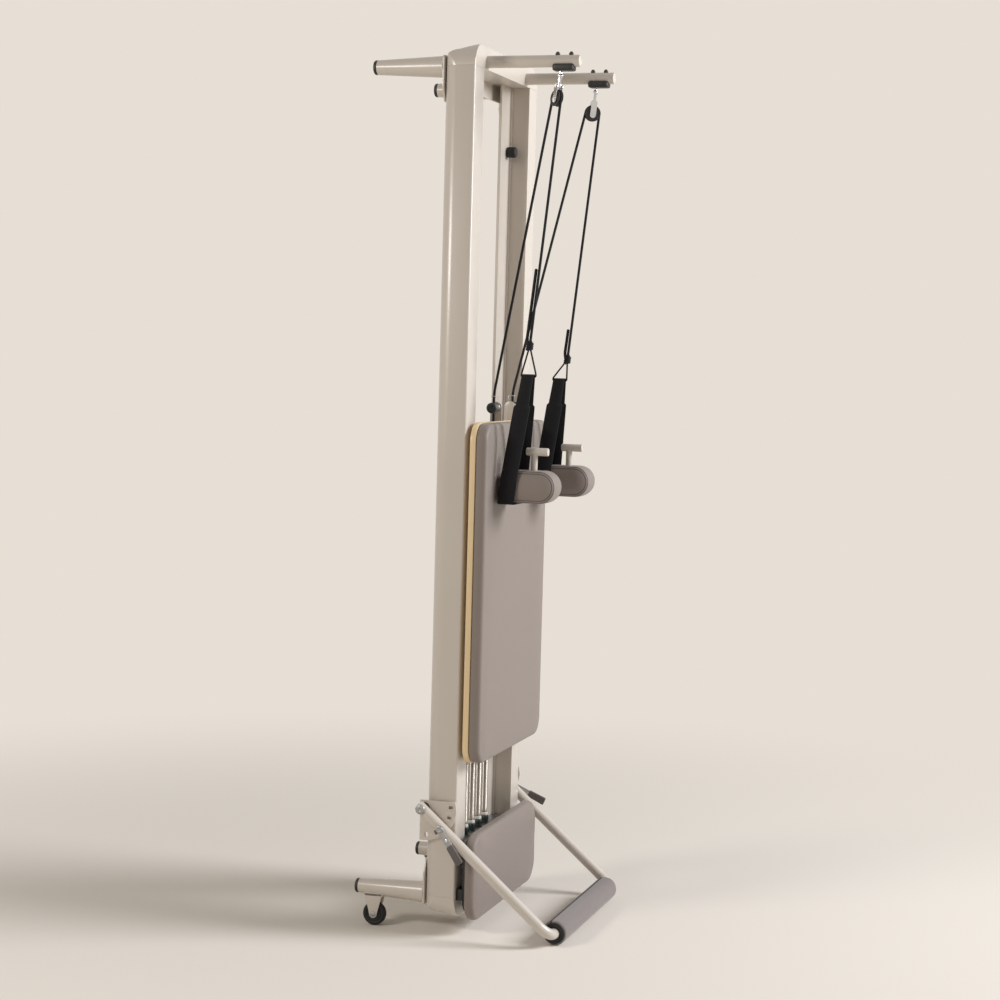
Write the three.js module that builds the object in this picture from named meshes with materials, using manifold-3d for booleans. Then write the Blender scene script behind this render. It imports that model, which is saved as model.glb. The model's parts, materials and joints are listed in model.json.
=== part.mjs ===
// A pilates reformer stored upright on its foot end, on two transport wheels and its lowered footbar.
// Millimetres. +Z is up, the upholstered side faces -Y and X runs across the frame.
// Inside the machine group y = 0 is the front face of the rails and z = 0 the lower end of the frame.
import * as THREE from 'three';
import { mergeVertices } from 'three/addons/utils/BufferGeometryUtils.js';
import Module from 'manifold-3d';

const wasm = await Module();
wasm.setup();

// Fits
const seatGap = 0.3;
const boreGap = 0.3;
const cutOverrun = 6;
const mergeDistance = 0.0001;

// Facets
const wheelSides = 20;
const roundSides = 16;
const tubeSides = 12;
const smallSides = 8;
const cornerSteps = 4;
const crownSteps = 3;
const ropeArcSteps = 6;
const ballRings = 5;
const lobeSteps = 4;

// Shares of a size that several pieces use
const leastCornerShare = 0.25;
const boltFaceShare = 0.72;
const steepShare = 0.9;

// Frame
const frameLength = 2394;
const frameWidth = 600;
const railWidth = 80;
const railDepth = 91;
const railWallThickness = 4;
const railFrontRadius = 6;
const railBackRadius = 38;
const ledgeDepth = 55;
const ledgeWidth = 90;
const ledgeThickness = 6;
const ribWidth = 6;
const ribHeight = 5;

// End caps of the frame
const capHeight = 64;
const capFallHeight = 18;
const capBackRadius = 38;
const capWallThickness = 5;
const skirtHeight = 45;
const skirtThickness = 6;

// Legs, which point backwards while the reformer is stored
const legInset = 42;
const legSetback = 64;
const legLength = 195;
const legBaseDiameter = 58;
const legEndDiameter = 40;
const legWallThickness = 3;
const footPlateWidth = 60;
const footPlateEndWidth = 24;
const footPlateLength = 124;
const footPlateThickness = 5;
const legCapThickness = 9;
const legCapPlugLength = 12;
const legCapCrownHeight = 2;
const footFaceShare = 0.7;

// Transport wheels under the legs of the foot end
const wheelDiameter = 66;
const wheelWidth = 24;
const wheelBevelWidth = 4;
const wheelHubDiameter = 40;
const wheelDishDepth = 3;
const wheelAxleDiameter = 10;
const wheelSetback = 46;
const forkSideGap = 1.5;
const forkThickness = 3;
const forkTopWidth = 54;
const forkEndRadius = 11;
const forkSinkDepth = 12;
const axleHeadDiameter = 16;
const axleHeadThickness = 3;
const frameLiftHeight = 43;

// Footbar
const barTubeDiameter = 30;
const barLength = 491;
const barCornerRadius = 43;
const pivotDepth = 89;
const pivotHeight = 312;
const pivotDiameter = 12;
const pivotHeadDiameter = 27;
const pivotHeadThickness = 6;
const pivotNutDiameter = 18;
const pivotNutThickness = 5;
const spacerDiameter = 28;
const barSideGap = 6.5;
const foamDiameter = 68;
const foamEndSetback = 43.8;
const foamSkinThickness = 5;
const seamWidth = 5;
const seamDepth = 3;
const seamTurn = -Math.PI / 4;

// Footbar brackets with their arc of locking slots
const bracketThickness = 8;
const bracketFrontWidth = 89;
const bracketBackWidth = 13;
const bracketTopHeight = 19;
const bracketCornerRadius = 4;
const slotCount = 5;
const slotStepAngle = 22;
const slotMiddleAngle = 41;
const slotRadius = 76;
const slotLength = 12;
const slotWidth = 8;

// Latches of the footbar
const latchPinDiameter = 7;
const latchPinGap = 1;
const latchThickness = 4;
const latchBossDiameter = 20;
const latchBossThickness = 4;
const latchScrewDiameter = 9;
const latchScrewThickness = 2;
const latchScrewSetback = 36;
const latchStripWidth = 18;
const latchStripLength = 62;
const latchGripLength = 56;
const latchGripWidth = 20;
const latchGripEndWidth = 23;
const latchGripThickness = 9;
const leftLatchTurn = 15;
const rightLatchTurn = -17;

// Rope arms and what hangs from them
const armInset = 112;
const armLength = 261;
const armDiameter = 33;
const armWallThickness = 3;
const armSetback = 43;
const armSocketDepth = 26;
const saddleLength = 60;
const saddleWidth = 40;
const saddleThickness = 10;
const saddleLapHeight = 8;
const saddleSetback = 45;
const swivelSetback = 55;
const saddleBoltSpacing = 38;
const saddleBoltDiameter = 6;
const nutDiameter = 13;
const nutHeight = 9;
const sheaveDiameter = 46;
const sheaveWidth = 12;
const grooveDepth = 7;
const sheaveLipWidth = 1;
const sheaveDropHeight = 83;
const sheavePinDiameter = 6;
const cheekWidth = 17;
const cheekThickness = 2;
const cheekTopHeight = 38;
const cheekBottomHeight = 13;
const cheekGap = 1;
const bridgeGap = 3;
const swivelDiameter = 9;
const swivelBallDiameter = 15;
const sheaveHangHeight = 60;
const leftPulley = { turn: -40, lean: 8, cleatLead: 7, knotLead: 0 };
const rightPulley = { turn: 27, lean: 7, cleatLead: 7, knotLead: 0 };

// Ropes
const ropeDiameter = 7.5;
const ropeSides = 8;
const loopSides = 6;
const ropeTailDiameter = 9;
const knotDiameter = 22;
const knotLength = 30;
const loopRopeDiameter = 5;
const loopSideGap = 4;
const leftKnotHeight = 77;
const leftKnotOffset = 1;
const leftTailShare = 0.31;
const rightKnotHeight = 54;
const rightKnotOffset = 21;
const rightTailShare = 0.12;

// Carriage
const carriageLength = 936;
const carriageOverhang = 3;
const carriageHeight = 434;
const carriageCornerRadius = 52;
const deckGap = 13;
const deckThickness = 16;
const padThickness = 33;
const padCrownHeight = 4;
const padCrownWidth = 175;
const padEdgeRadius = 10;
const sidePlateInset = 99;
const sidePlateThickness = 6;
const sidePlateDepth = 62;
const sidePlateLength = 905;
const endPlateThickness = 6;
const endPlateSideGap = 12;
const crossBarHeight = 40;
const crossBarThickness = 8;
const rollerDiameter = 54;
const rollerWidth = 22;
const rollerAxleDiameter = 12;
const rollerInset = 60;
const rollerSideGap = 4;
const rollerHeadThickness = 3;
const rollerHeadDiameter = 20;

// Shoulder rests, each on a bent post with a strap peg
const restSideInset = 123;
const restWidth = 100;
const restDepth = 162;
const restHeight = 90;
const restInset = 173;
const restPadGap = 3;
const restCrownHeight = 8;
const restEdgeWidth = 14;
const postDiameter = 18;
const postInset = 71;
const postHeight = 96;
const pegDiameter = 22;
const pegLength = 62;
const pegInset = 62;
const flangeDiameter = 46;
const flangeThickness = 4;

// Rope cleats at the head edge of the carriage: a bent bracket that carries a drum with a knob
const cleatSpacing = 180;
const cleatDepth = 12;
const cleatHeight = 37;
const cleatThickness = 3;
const cleatEarRadius = 17;
const cleatEarOffset = 22;
const cleatFootWidth = 36;
const cleatDrumDiameter = 24;
const cleatKnobOffset = 11;
const cleatKnobDiameter = 30;
const cleatKnobLength = 14;
const guideHeight = 31;
const guideWidth = 20;
const guideThickness = 3;

// Rubber stops on the ledges of the rails
const stopDiameter = 32;
const stopLength = 28;
const stopInset = 108;
const stopHeadSetback = 252;

// Straps round the shoulder rests
const strapThickness = 4;
const strapWidth = 46;
const strapTopWidth = 33;
const strapStepHeight = 266;
const strapStepDepth = 3;
const strapSideGap = 4;
const strapEyeRadius = 7;
const strapShoulderShare = 0.75;
const leftStrapLength = 353;
const leftStrapOffset = 40;
const leftStrapGap = 8;
const rightStrapLength = 341;
const rightStrapOffset = 35;
const rightStrapGap = 2;

// Spring bar and springs
const springCount = 4;
const springSpacing = 62;
const springBarHeight = 191;
const springBarThickness = 6;
const springBarDepth = 50;
const springBarLipHeight = 26;
const springDepth = 43;
const coilDiameter = 21;
const wireDiameter = 3;
const coilTurns = 7;
const coilSteps = 8;
const coilSides = 5;
const coilLeadHeight = 3;
const knobDiameter = 30;
const knobThickness = 20;
const knobLobes = 6;
const knobLobeDepth = 3;
const knobPostHeight = 10;
const hookDiameter = 7;
const hookBallDiameter = 11;
const hookBallThickness = 8;

// Standing platform
const platformOverhang = 5;
const platformLength = 244;
const platformCornerRadius = 62;
const platformGap = 27;
const platformDropHeight = 5;
const platformThickness = 33;
const platformCrownHeight = 3;
const platformCrownWidth = 90;
const platformBoardThickness = 9;
const platformBoardInset = 22;
const platformBlockWidth = 50;
const platformBlockLength = 30;
const platformBlockHeight = 56;

// Places worked out from the sizes above
const halfFrame = frameWidth / 2;
const carriageWidth = frameWidth + 2 * carriageOverhang;
const platformWidth = frameWidth + 2 * platformOverhang;
const railInner = halfFrame - railWidth;
const sidePlateX = railInner - sidePlateInset;
const endPlateX = railInner - endPlateSideGap;
const legX = halfFrame - legInset;
const legBackStart = railDepth + seatGap + footPlateThickness;
const legBackEnd = legBackStart + legLength;
const wheelY = legBackEnd - wheelSetback;
const wheelRadius = wheelDiameter / 2;
const barAxisX = halfFrame + seatGap + bracketThickness + barSideGap + barTubeDiameter / 2;
const foamLength = 2 * (barAxisX - foamEndSetback);
const barDrop = pivotHeight + frameLiftHeight - foamDiameter / 2;
const barAngle = Math.asin(barDrop / barLength);
const armX = halfFrame - armInset;
const armZ = frameLength - armSetback;
const saddleY = saddleSetback - armLength;
const swivelY = swivelSetback - armLength;
const swivelZ = armZ - armDiameter / 2 - sheaveDropHeight + sheaveHangHeight;
const deckBack = -deckGap;
const deckFront = deckBack - deckThickness;
const padBack = deckFront - seatGap;
const padFront = padBack - padThickness - padCrownHeight;
const restX = carriageWidth / 2 - restSideInset;
const restBack = padFront - restPadGap;
const restFront = restBack - restDepth;
const postRiserY = restFront + postInset;
const carriageTop = carriageHeight + carriageLength;
const restCenterHeight = carriageTop - restInset;
const headPlateTop = carriageHeight + 2 * endPlateThickness + sidePlateLength;
const cleatAxisZ = carriageTop + cleatHeight;
const guideZ = cleatAxisZ + guideHeight;
const restBottom = restCenterHeight - restHeight / 2;
const rollerY = ledgeDepth - seatGap - rollerDiameter / 2;
const stopX = halfFrame - stopInset;
const backReach = legBackEnd + legCapThickness + legCapCrownHeight;
const frontReach = barLength * Math.cos(barAngle) - pivotDepth + foamDiameter / 2;

// The two sides' straps, with the shift of their upper ends, and the knots above them
const leftStrap = { length: leftStrapLength, offset: leftStrapOffset, gap: leftStrapGap };
const rightStrap = { length: rightStrapLength, offset: rightStrapOffset, gap: rightStrapGap };
const leftKnot = { height: leftKnotHeight, offset: leftKnotOffset, tailShare: leftTailShare };
const rightKnot = { height: rightKnotHeight, offset: rightKnotOffset, tailShare: rightTailShare };

// Materials
function paint(color, roughness, metalness) {
  return new THREE.MeshStandardMaterial({ color, roughness, metalness });
}
const creamPaint = () => paint(0xd9d0c4, 0.38, 0.1);
const blackPlastic = () => paint(0x1c1b1a, 0.55, 0);
const blackRubber = () => paint(0x161616, 0.8, 0);
const chrome = () => paint(0xd4d6d8, 0.15, 1);
const steel = () => paint(0xa9abac, 0.35, 0.9);
const wood = () => paint(0xd8bd8b, 0.5, 0);
const upholstery = () => paint(0xa89c91, 0.7, 0);
const webbing = () => paint(0x1b1a1d, 0.9, 0);
const gripGrey = () => paint(0x55504f, 0.6, 0);
const foamCloth = () => paint(0x8c827f, 0.85, 0);

// Turns a closed three.js geometry into a solid with its faces outward.
function solidOf(geometry) {
  const bare = geometry.clone();
  bare.deleteAttribute('normal');
  bare.deleteAttribute('uv');
  const merged = mergeVertices(bare, mergeDistance);
  const points = merged.getAttribute('position').array;
  const source = merged.getIndex().array;
  const faces = [];
  let volume = 0;
  for (let i = 0; i < source.length; i += 3) {
    const [a, b, c] = [source[i], source[i + 1], source[i + 2]];
    if (a === b || b === c || c === a) continue;
    faces.push(a, b, c);
    volume += triangleVolume(points, a, b, c);
  }
  if (volume < 0) faces.reverse();
  const mesh = new wasm.Mesh({
    numProp: 3,
    vertProperties: new Float32Array(points),
    triVerts: new Uint32Array(faces),
  });
  return new wasm.Manifold(mesh);
}

function triangleVolume(points, a, b, c) {
  const [p, q, r] = [a, b, c].map((i) => new THREE.Vector3().fromArray(points, i * 3));
  return p.dot(q.cross(r)) / 6;
}

// Turns a solid back into a geometry for a mesh.
function geometryOf(solid) {
  const mesh = solid.getMesh();
  const geometry = new THREE.BufferGeometry();
  const points = new Float32Array(mesh.numVert * 3);
  for (let i = 0; i < mesh.numVert; i += 1) {
    for (let k = 0; k < 3; k += 1) points[i * 3 + k] = mesh.vertProperties[i * mesh.numProp + k];
  }
  geometry.setAttribute('position', new THREE.BufferAttribute(points, 3));
  geometry.setIndex(Array.from(mesh.triVerts));
  geometry.computeVertexNormals();
  return geometry;
}

function join(...geometries) {
  return geometries.map(solidOf).reduce((whole, next) => whole.add(next));
}

function cut(whole, ...geometries) {
  return geometries.map(solidOf).reduce((left, next) => left.subtract(next), whole);
}

// The same piece for the other side of the machine.
function mirrored(geometry) {
  const other = geometry.clone();
  other.scale(-1, 1, 1);
  other.setIndex(Array.from(other.getIndex().array).reverse());
  other.computeVertexNormals();
  return other;
}

// A box between two corners.
function block(x0, x1, y0, y1, z0, z1) {
  const box = new THREE.BoxGeometry(x1 - x0, y1 - y0, z1 - z0);
  return box.translate((x0 + x1) / 2, (y0 + y1) / 2, (z0 + z1) / 2);
}

// Bases that lay a flat shape down so that it is extruded along one axis.
const layAlong = {
  x: new THREE.Matrix4().makeBasis(
    new THREE.Vector3(0, 1, 0), new THREE.Vector3(0, 0, 1), new THREE.Vector3(1, 0, 0)),
  y: new THREE.Matrix4().makeBasis(
    new THREE.Vector3(-1, 0, 0), new THREE.Vector3(0, 0, 1), new THREE.Vector3(0, 1, 0)),
  z: new THREE.Matrix4(),
};

// Extrudes an outline from one place to another along an axis. Along x the outline holds (y, z),
// along z it holds (x, y) and along y it holds (-x, z).
function extrudeAlong(axis, outline, from, to) {
  const settings = { depth: to - from, bevelEnabled: false, curveSegments: cornerSteps };
  const body = new THREE.ExtrudeGeometry(outline, settings);
  body.translate(0, 0, from);
  return body.applyMatrix4(layAlong[axis]);
}

// Turns a profile of (radius, place) pairs about an axis. The first facet faces straight down.
function turnAlong(axis, profile, sides) {
  const points = profile.map(([radius, place]) => new THREE.Vector2(radius, place));
  const body = new THREE.LatheGeometry(points, sides);
  body.rotateY(Math.PI / sides);
  if (axis === 'x') body.rotateZ(-Math.PI / 2);
  if (axis === 'z') body.rotateX(Math.PI / 2);
  return body;
}

function rodAlong(axis, diameter, from, to, sides = smallSides) {
  const r = diameter / 2;
  return turnAlong(axis, [[0, from], [r, from], [r, to], [0, to]], sides);
}

// The cutter for a hole that clears a round shaft on every side.
function boreAlong(axis, shaftDiameter, from, to, sides = smallSides) {
  return rodAlong(axis, (shaftDiameter + 2 * boreGap) / Math.cos(Math.PI / sides), from, to, sides);
}

// A round tube through a list of points, with flat closed ends.
function tubeThrough(points, radius, sides) {
  const count = points.length;
  const tangents = points.map((point, i) => {
    const before = points[Math.max(i - 1, 0)];
    const after = points[Math.min(i + 1, count - 1)];
    return after.clone().sub(before).normalize();
  });
  const steep = Math.abs(tangents[0].x) < steepShare;
  const helper = new THREE.Vector3(steep ? 1 : 0, steep ? 0 : 1, 0);
  let across = helper.clone().cross(tangents[0]).normalize();
  const positions = [];
  points.forEach((point, i) => {
    across = across.clone().addScaledVector(tangents[i], -across.dot(tangents[i])).normalize();
    const up = tangents[i].clone().cross(across);
    for (let k = 0; k < sides; k += 1) {
      const angle = (2 * Math.PI * (k + 0.5)) / sides;
      const spot = point.clone();
      spot.addScaledVector(across, radius * Math.cos(angle));
      spot.addScaledVector(up, radius * Math.sin(angle));
      positions.push(spot.x, spot.y, spot.z);
    }
  });
  const faces = [];
  for (let i = 0; i < count - 1; i += 1) {
    for (let k = 0; k < sides; k += 1) {
      const a = i * sides + k;
      const b = i * sides + ((k + 1) % sides);
      faces.push(a, b, b + sides, a, b + sides, a + sides);
    }
  }
  const last = (count - 1) * sides;
  for (let k = 1; k < sides - 1; k += 1) {
    faces.push(0, k + 1, k);
    faces.push(last, last + k, last + k + 1);
  }
  const geometry = new THREE.BufferGeometry();
  geometry.setAttribute('position', new THREE.Float32BufferAttribute(positions, 3));
  geometry.setIndex(faces);
  return geometry;
}

// Points of an arc in a plane, from one direction to another about a centre.
function arcPoints(center, first, second, radius, start, end, steps) {
  const points = [];
  for (let i = 0; i <= steps; i += 1) {
    const angle = start + ((end - start) * i) / steps;
    const spot = center.clone();
    spot.addScaledVector(first, radius * Math.cos(angle));
    spot.addScaledVector(second, radius * Math.sin(angle));
    points.push(spot);
  }
  return points;
}

// A rectangle with round corners, as a list of points anticlockwise about its centre.
function roundedOutline(width, height, radius, steps = cornerSteps) {
  const points = [];
  const corners = [[1, 1], [-1, 1], [-1, -1], [1, -1]];
  corners.forEach(([sx, sy], corner) => {
    for (let i = 0; i <= steps; i += 1) {
      const angle = ((corner + i / steps) * Math.PI) / 2;
      const x = sx * (width / 2 - radius) + radius * Math.cos(angle);
      const y = sy * (height / 2 - radius) + radius * Math.sin(angle);
      points.push(new THREE.Vector2(x, y));
    }
  });
  return points;
}

// A soft block: rounded outlines stacked from back to front. Each layer is [inset, place].
function cushion(width, height, radius, layers, steps = cornerSteps) {
  const rings = layers.map(([inset, place]) => {
    const corner = Math.max(radius - inset, radius * leastCornerShare);
    const outline = roundedOutline(width - 2 * inset, height - 2 * inset, corner, steps);
    return outline.map((point) => [point.x, point.y, place]);
  });
  const count = rings[0].length;
  const positions = rings.flat(2);
  const faces = [];
  for (let r = 0; r < rings.length - 1; r += 1) {
    for (let k = 0; k < count; k += 1) {
      const a = r * count + k;
      const b = r * count + ((k + 1) % count);
      faces.push(a, b, b + count, a, b + count, a + count);
    }
  }
  const last = (rings.length - 1) * count;
  for (let k = 1; k < count - 1; k += 1) {
    faces.push(0, k + 1, k);
    faces.push(last, last + k, last + k + 1);
  }
  const geometry = new THREE.BufferGeometry();
  geometry.setAttribute('position', new THREE.Float32BufferAttribute(positions, 3));
  geometry.setIndex(faces);
  return geometry;
}

// The section of a rail on the +X side: a hollow box with a rounded outer back edge,
// and the ledge that the carriage rolls on.
function railSection() {
  const ledgeEnd = railInner - ledgeWidth;
  const outline = new THREE.Shape();
  outline.moveTo(railInner, 0);
  outline.lineTo(halfFrame - railFrontRadius, 0);
  outline.absarc(halfFrame - railFrontRadius, railFrontRadius, railFrontRadius, -Math.PI / 2, 0);
  outline.lineTo(halfFrame, railDepth - railBackRadius);
  outline.absarc(halfFrame - railBackRadius, railDepth - railBackRadius, railBackRadius, 0, Math.PI / 2);
  outline.lineTo(railInner, railDepth);
  outline.lineTo(railInner, ledgeDepth + ledgeThickness);
  outline.lineTo(ledgeEnd, ledgeDepth + ledgeThickness);
  outline.lineTo(ledgeEnd, ledgeDepth);
  outline.lineTo(railInner - ribWidth, ledgeDepth);
  outline.lineTo(railInner - ribWidth, ledgeDepth - ribHeight);
  outline.lineTo(railInner, ledgeDepth - ribHeight);
  const hollow = new THREE.Path();
  const inner = railBackRadius - railWallThickness;
  hollow.moveTo(railInner + railWallThickness, railWallThickness);
  hollow.lineTo(halfFrame - railWallThickness, railWallThickness);
  hollow.lineTo(halfFrame - railWallThickness, railDepth - railBackRadius);
  hollow.absarc(halfFrame - railBackRadius, railDepth - railBackRadius, inner, 0, Math.PI / 2);
  hollow.lineTo(railInner + railWallThickness, railDepth - railWallThickness);
  outline.holes.push(hollow);
  return outline;
}

function railGeometry() {
  const from = capHeight + seatGap;
  const to = frameLength - capHeight - seatGap;
  return geometryOf(solidOf(extrudeAlong('z', railSection(), from, to)));
}

// The side profile of an end cap in (y, z): full height at the front, falling and rounded at the back.
function capProfile(inset) {
  const back = railDepth - inset;
  const frontHeight = capHeight - inset;
  const backHeight = capHeight - capFallHeight - inset;
  const radius = capBackRadius - inset;
  const profile = new THREE.Shape();
  profile.moveTo(inset, 0);
  profile.lineTo(back, 0);
  profile.lineTo(back, backHeight - radius);
  profile.absarc(back - radius, backHeight - radius, radius, 0, Math.PI / 2);
  profile.lineTo(inset, frontHeight);
  return profile;
}

// The plan of an end cap in (x, y), which carries on both rails' outlines.
function capPlan(inset) {
  const half = halfFrame - inset;
  const back = railDepth - inset;
  const frontRadius = Math.max(railFrontRadius - inset, seatGap);
  const backRadius = railBackRadius - inset;
  const plan = new THREE.Shape();
  plan.moveTo(-half + frontRadius, inset);
  plan.lineTo(half - frontRadius, inset);
  plan.absarc(half - frontRadius, inset + frontRadius, frontRadius, -Math.PI / 2, 0);
  plan.lineTo(half, back - backRadius);
  plan.absarc(half - backRadius, back - backRadius, backRadius, 0, Math.PI / 2);
  plan.lineTo(-half + backRadius, back);
  plan.absarc(-half + backRadius, back - backRadius, backRadius, Math.PI / 2, Math.PI);
  plan.lineTo(-half, inset + frontRadius);
  plan.absarc(-half + frontRadius, inset + frontRadius, frontRadius, Math.PI, 1.5 * Math.PI);
  return plan;
}

// The front view of an end cap in (-x, z), with its two large corners.
function capFace(inset) {
  const half = halfFrame - inset;
  const height = capHeight - inset;
  const face = new THREE.Shape();
  face.moveTo(-half, 0);
  face.lineTo(half, 0);
  face.absarc(half - height, 0, height, 0, Math.PI / 2);
  face.absarc(-half + height, 0, height, Math.PI / 2, Math.PI);
  return face;
}

// One end cap lying with its open side down at z = 0: three outlines crossed, then hollowed.
function capBody(inset) {
  const along = solidOf(extrudeAlong('x', capProfile(inset), -halfFrame, halfFrame));
  const plan = solidOf(extrudeAlong('z', capPlan(inset), -cutOverrun, capHeight + cutOverrun));
  const face = solidOf(extrudeAlong('y', capFace(inset), -cutOverrun, railDepth + cutOverrun));
  return along.intersect(plan).intersect(face);
}

function capSolid() {
  const hollow = capBody(capWallThickness).translate(0, 0, -seatGap / 2);
  const skirtEnd = railInner - seatGap;
  const skirtFront = railDepth - skirtThickness;
  const skirt = block(-skirtEnd, skirtEnd, skirtFront, railDepth, -skirtHeight, capWallThickness);
  return capBody(0).subtract(hollow).add(solidOf(skirt));
}

function headCapGeometry() {
  const place = (rod, side) => rod.translate(side * armX, 0, capHeight - armSetback);
  const width = armDiameter + 2 * capWallThickness;
  const sockets = [-1, 1].map((side) => {
    return place(rodAlong('y', width, capWallThickness - seatGap, armSocketDepth, roundSides), side);
  });
  const bores = [-1, 1].map((side) => {
    return place(boreAlong('y', armDiameter, -cutOverrun, armSocketDepth + cutOverrun, roundSides), side);
  });
  return geometryOf(cut(capSolid().add(join(...sockets)), ...bores));
}

function footCapGeometry() {
  const geometry = geometryOf(capSolid());
  geometry.rotateY(Math.PI);
  return geometry;
}

// The plate that a leg is welded to, in (-x, z) about the leg's axis: it starts level with the leg's
// base and narrows towards the middle of the rail.
function legPlateOutline() {
  const half = footPlateWidth / 2;
  const endHalf = footPlateEndWidth / 2;
  const top = legBaseDiameter / 2;
  const bottom = top - footPlateLength;
  const taper = footPlateWidth - footPlateEndWidth;
  const plate = new THREE.Shape();
  plate.moveTo(-half, top);
  plate.lineTo(-half, bottom + taper);
  plate.lineTo(-endHalf, bottom);
  plate.lineTo(endHalf, bottom);
  plate.lineTo(half, bottom + taper);
  plate.lineTo(half, top);
  return plate;
}

// A leg of the head end, with its axis at the origin, the plate at y = 0 and the open end at the back.
function legSolid() {
  const base = legBaseDiameter / 2;
  const end = legEndDiameter / 2;
  const start = footPlateThickness;
  const stop = footPlateThickness + legLength;
  const outside = [[base, start - seatGap], [end, stop]];
  const inside = outside.map(([radius, place]) => [radius - legWallThickness, place]).reverse();
  const cone = [inside[1], ...outside, ...inside];
  const plate = extrudeAlong('y', legPlateOutline(), 0, footPlateThickness);
  return join(plate, turnAlong('y', cone, roundSides));
}

// A cheek of the fork in (y, z): wide under the leg, narrowing to a round end at the axle.
function forkOutline(axleY, axleZ) {
  const half = forkTopWidth / 2;
  const cheek = new THREE.Shape();
  cheek.moveTo(axleY - half, -forkSinkDepth);
  cheek.lineTo(axleY - forkEndRadius, axleZ);
  cheek.absarc(axleY, axleZ, forkEndRadius, Math.PI, 2 * Math.PI);
  cheek.lineTo(axleY + half, -forkSinkDepth);
  return cheek;
}

// A leg of the foot end: the same leg with a welded fork and the axle of its transport wheel.
function footLegGeometry() {
  const axleY = footPlateThickness + legLength - wheelSetback;
  const axleZ = wheelRadius - frameLiftHeight - legSetback;
  const near = wheelWidth / 2 + forkSideGap;
  const far = near + forkThickness;
  const cheeks = [-1, 1].map((side) => {
    const from = side > 0 ? near : -far;
    return extrudeAlong('x', forkOutline(axleY, axleZ), from, from + forkThickness);
  });
  const bridge = block(-far, far, axleY - forkTopWidth / 2, axleY + forkTopWidth / 2,
    -legEndDiameter / 2 - forkThickness, -forkSinkDepth);
  const head = far + axleHeadThickness;
  const axle = rodAlong('x', wheelAxleDiameter, -far, far);
  const headBefore = rodAlong('x', axleHeadDiameter, -head, -far + seatGap);
  const headBeyond = rodAlong('x', axleHeadDiameter, far - seatGap, head);
  const axleParts = [axle, headBefore, headBeyond].map((part) => part.translate(0, axleY, axleZ));
  const leg = turned(legSolid());
  const insideDiameter = legEndDiameter - 2 * legWallThickness;
  const bore = rodAlong('y', insideDiameter, axleY - wheelDiameter, axleY + wheelDiameter, roundSides);
  const fork = cut(join(...cheeks, bridge), bore);
  return geometryOf(leg.add(fork).add(join(...axleParts)));
}

// Turns a solid upside down about the leg's axis, for the foot end.
function turned(solid) {
  return solid.mirror([0, 0, 1]);
}

// A plug that closes the open end of a leg.
function legCapGeometry() {
  const plug = legEndDiameter / 2 - legWallThickness - boreGap;
  const rim = legEndDiameter / 2;
  const crown = legCapThickness + legCapCrownHeight;
  const profile = [
    [0, -legCapPlugLength], [plug - legWallThickness / 2, -legCapPlugLength], [plug, -legCapPlugLength / 2],
    [plug, seatGap], [rim, seatGap], [rim, legCapThickness - legCapCrownHeight],
    [rim - legCapCrownHeight, legCapThickness], [rim * footFaceShare, crown], [0, crown],
  ];
  return geometryOf(solidOf(turnAlong('y', profile, tubeSides)));
}

// A transport wheel about the x axis.
function transportWheelGeometry() {
  const half = wheelWidth / 2;
  const outer = wheelRadius / Math.cos(Math.PI / wheelSides);
  const hub = wheelHubDiameter / 2;
  const bore = wheelAxleDiameter / 2 + boreGap;
  const profile = [
    [bore, -half], [hub - wheelDishDepth, -half], [hub, -half + wheelDishDepth],
    [outer - wheelBevelWidth, -half], [outer, -half + wheelBevelWidth], [outer, half - wheelBevelWidth],
    [outer - wheelBevelWidth, half], [hub, half - wheelDishDepth], [hub - wheelDishDepth, half],
    [bore, half], [bore, -half],
  ];
  return geometryOf(solidOf(turnAlong('x', profile, wheelSides)));
}

// Places on the footbar's bracket, from the pivot: forward is -y, and the angle is measured downwards.
function barDirection(angle) {
  return new THREE.Vector2(-Math.cos(angle), -Math.sin(angle));
}

// A bracket on the +X side, from its inner face at x = 0, with the pivot at the origin.
function bracketGeometry() {
  const reach = slotRadius + slotLength + bracketCornerRadius;
  const startAngle = Math.asin(bracketCornerRadius / reach);
  const endAngle = Math.PI / 2;
  const plate = new THREE.Shape();
  plate.moveTo(bracketBackWidth, bracketTopHeight);
  plate.lineTo(-bracketFrontWidth + bracketCornerRadius, bracketTopHeight);
  const corner = [-bracketFrontWidth + bracketCornerRadius, bracketTopHeight - bracketCornerRadius];
  plate.absarc(...corner, bracketCornerRadius, Math.PI / 2, Math.PI);
  plate.absarc(0, 0, reach, Math.PI + startAngle, Math.PI + endAngle);
  plate.lineTo(bracketBackWidth, -reach);
  for (let i = 0; i < slotCount; i += 1) {
    const angle = THREE.MathUtils.degToRad(slotMiddleAngle + (i - (slotCount - 1) / 2) * slotStepAngle);
    plate.holes.push(slotOutline(angle));
  }
  const spacerTop = bracketThickness + barSideGap - seatGap;
  const body = join(
    extrudeAlong('x', plate, 0, bracketThickness),
    rodAlong('x', spacerDiameter, bracketThickness - seatGap, spacerTop, roundSides),
  );
  const bore = boreAlong('x', pivotDiameter, -cutOverrun, spacerTop + cutOverrun);
  return geometryOf(cut(body, bore));
}

// One locking slot, long across the arc of slots.
function slotOutline(angle) {
  const along = barDirection(angle);
  const across = new THREE.Vector2(-along.y, along.x);
  const center = along.clone().multiplyScalar(slotRadius);
  const slot = new THREE.Path();
  const corners = [[1, 1], [-1, 1], [-1, -1], [1, -1]].map(([u, v]) => {
    const spot = center.clone();
    spot.addScaledVector(along, (u * slotLength) / 2);
    spot.addScaledVector(across, (v * slotWidth) / 2);
    return spot;
  });
  slot.setFromPoints(corners);
  return slot;
}

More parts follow.
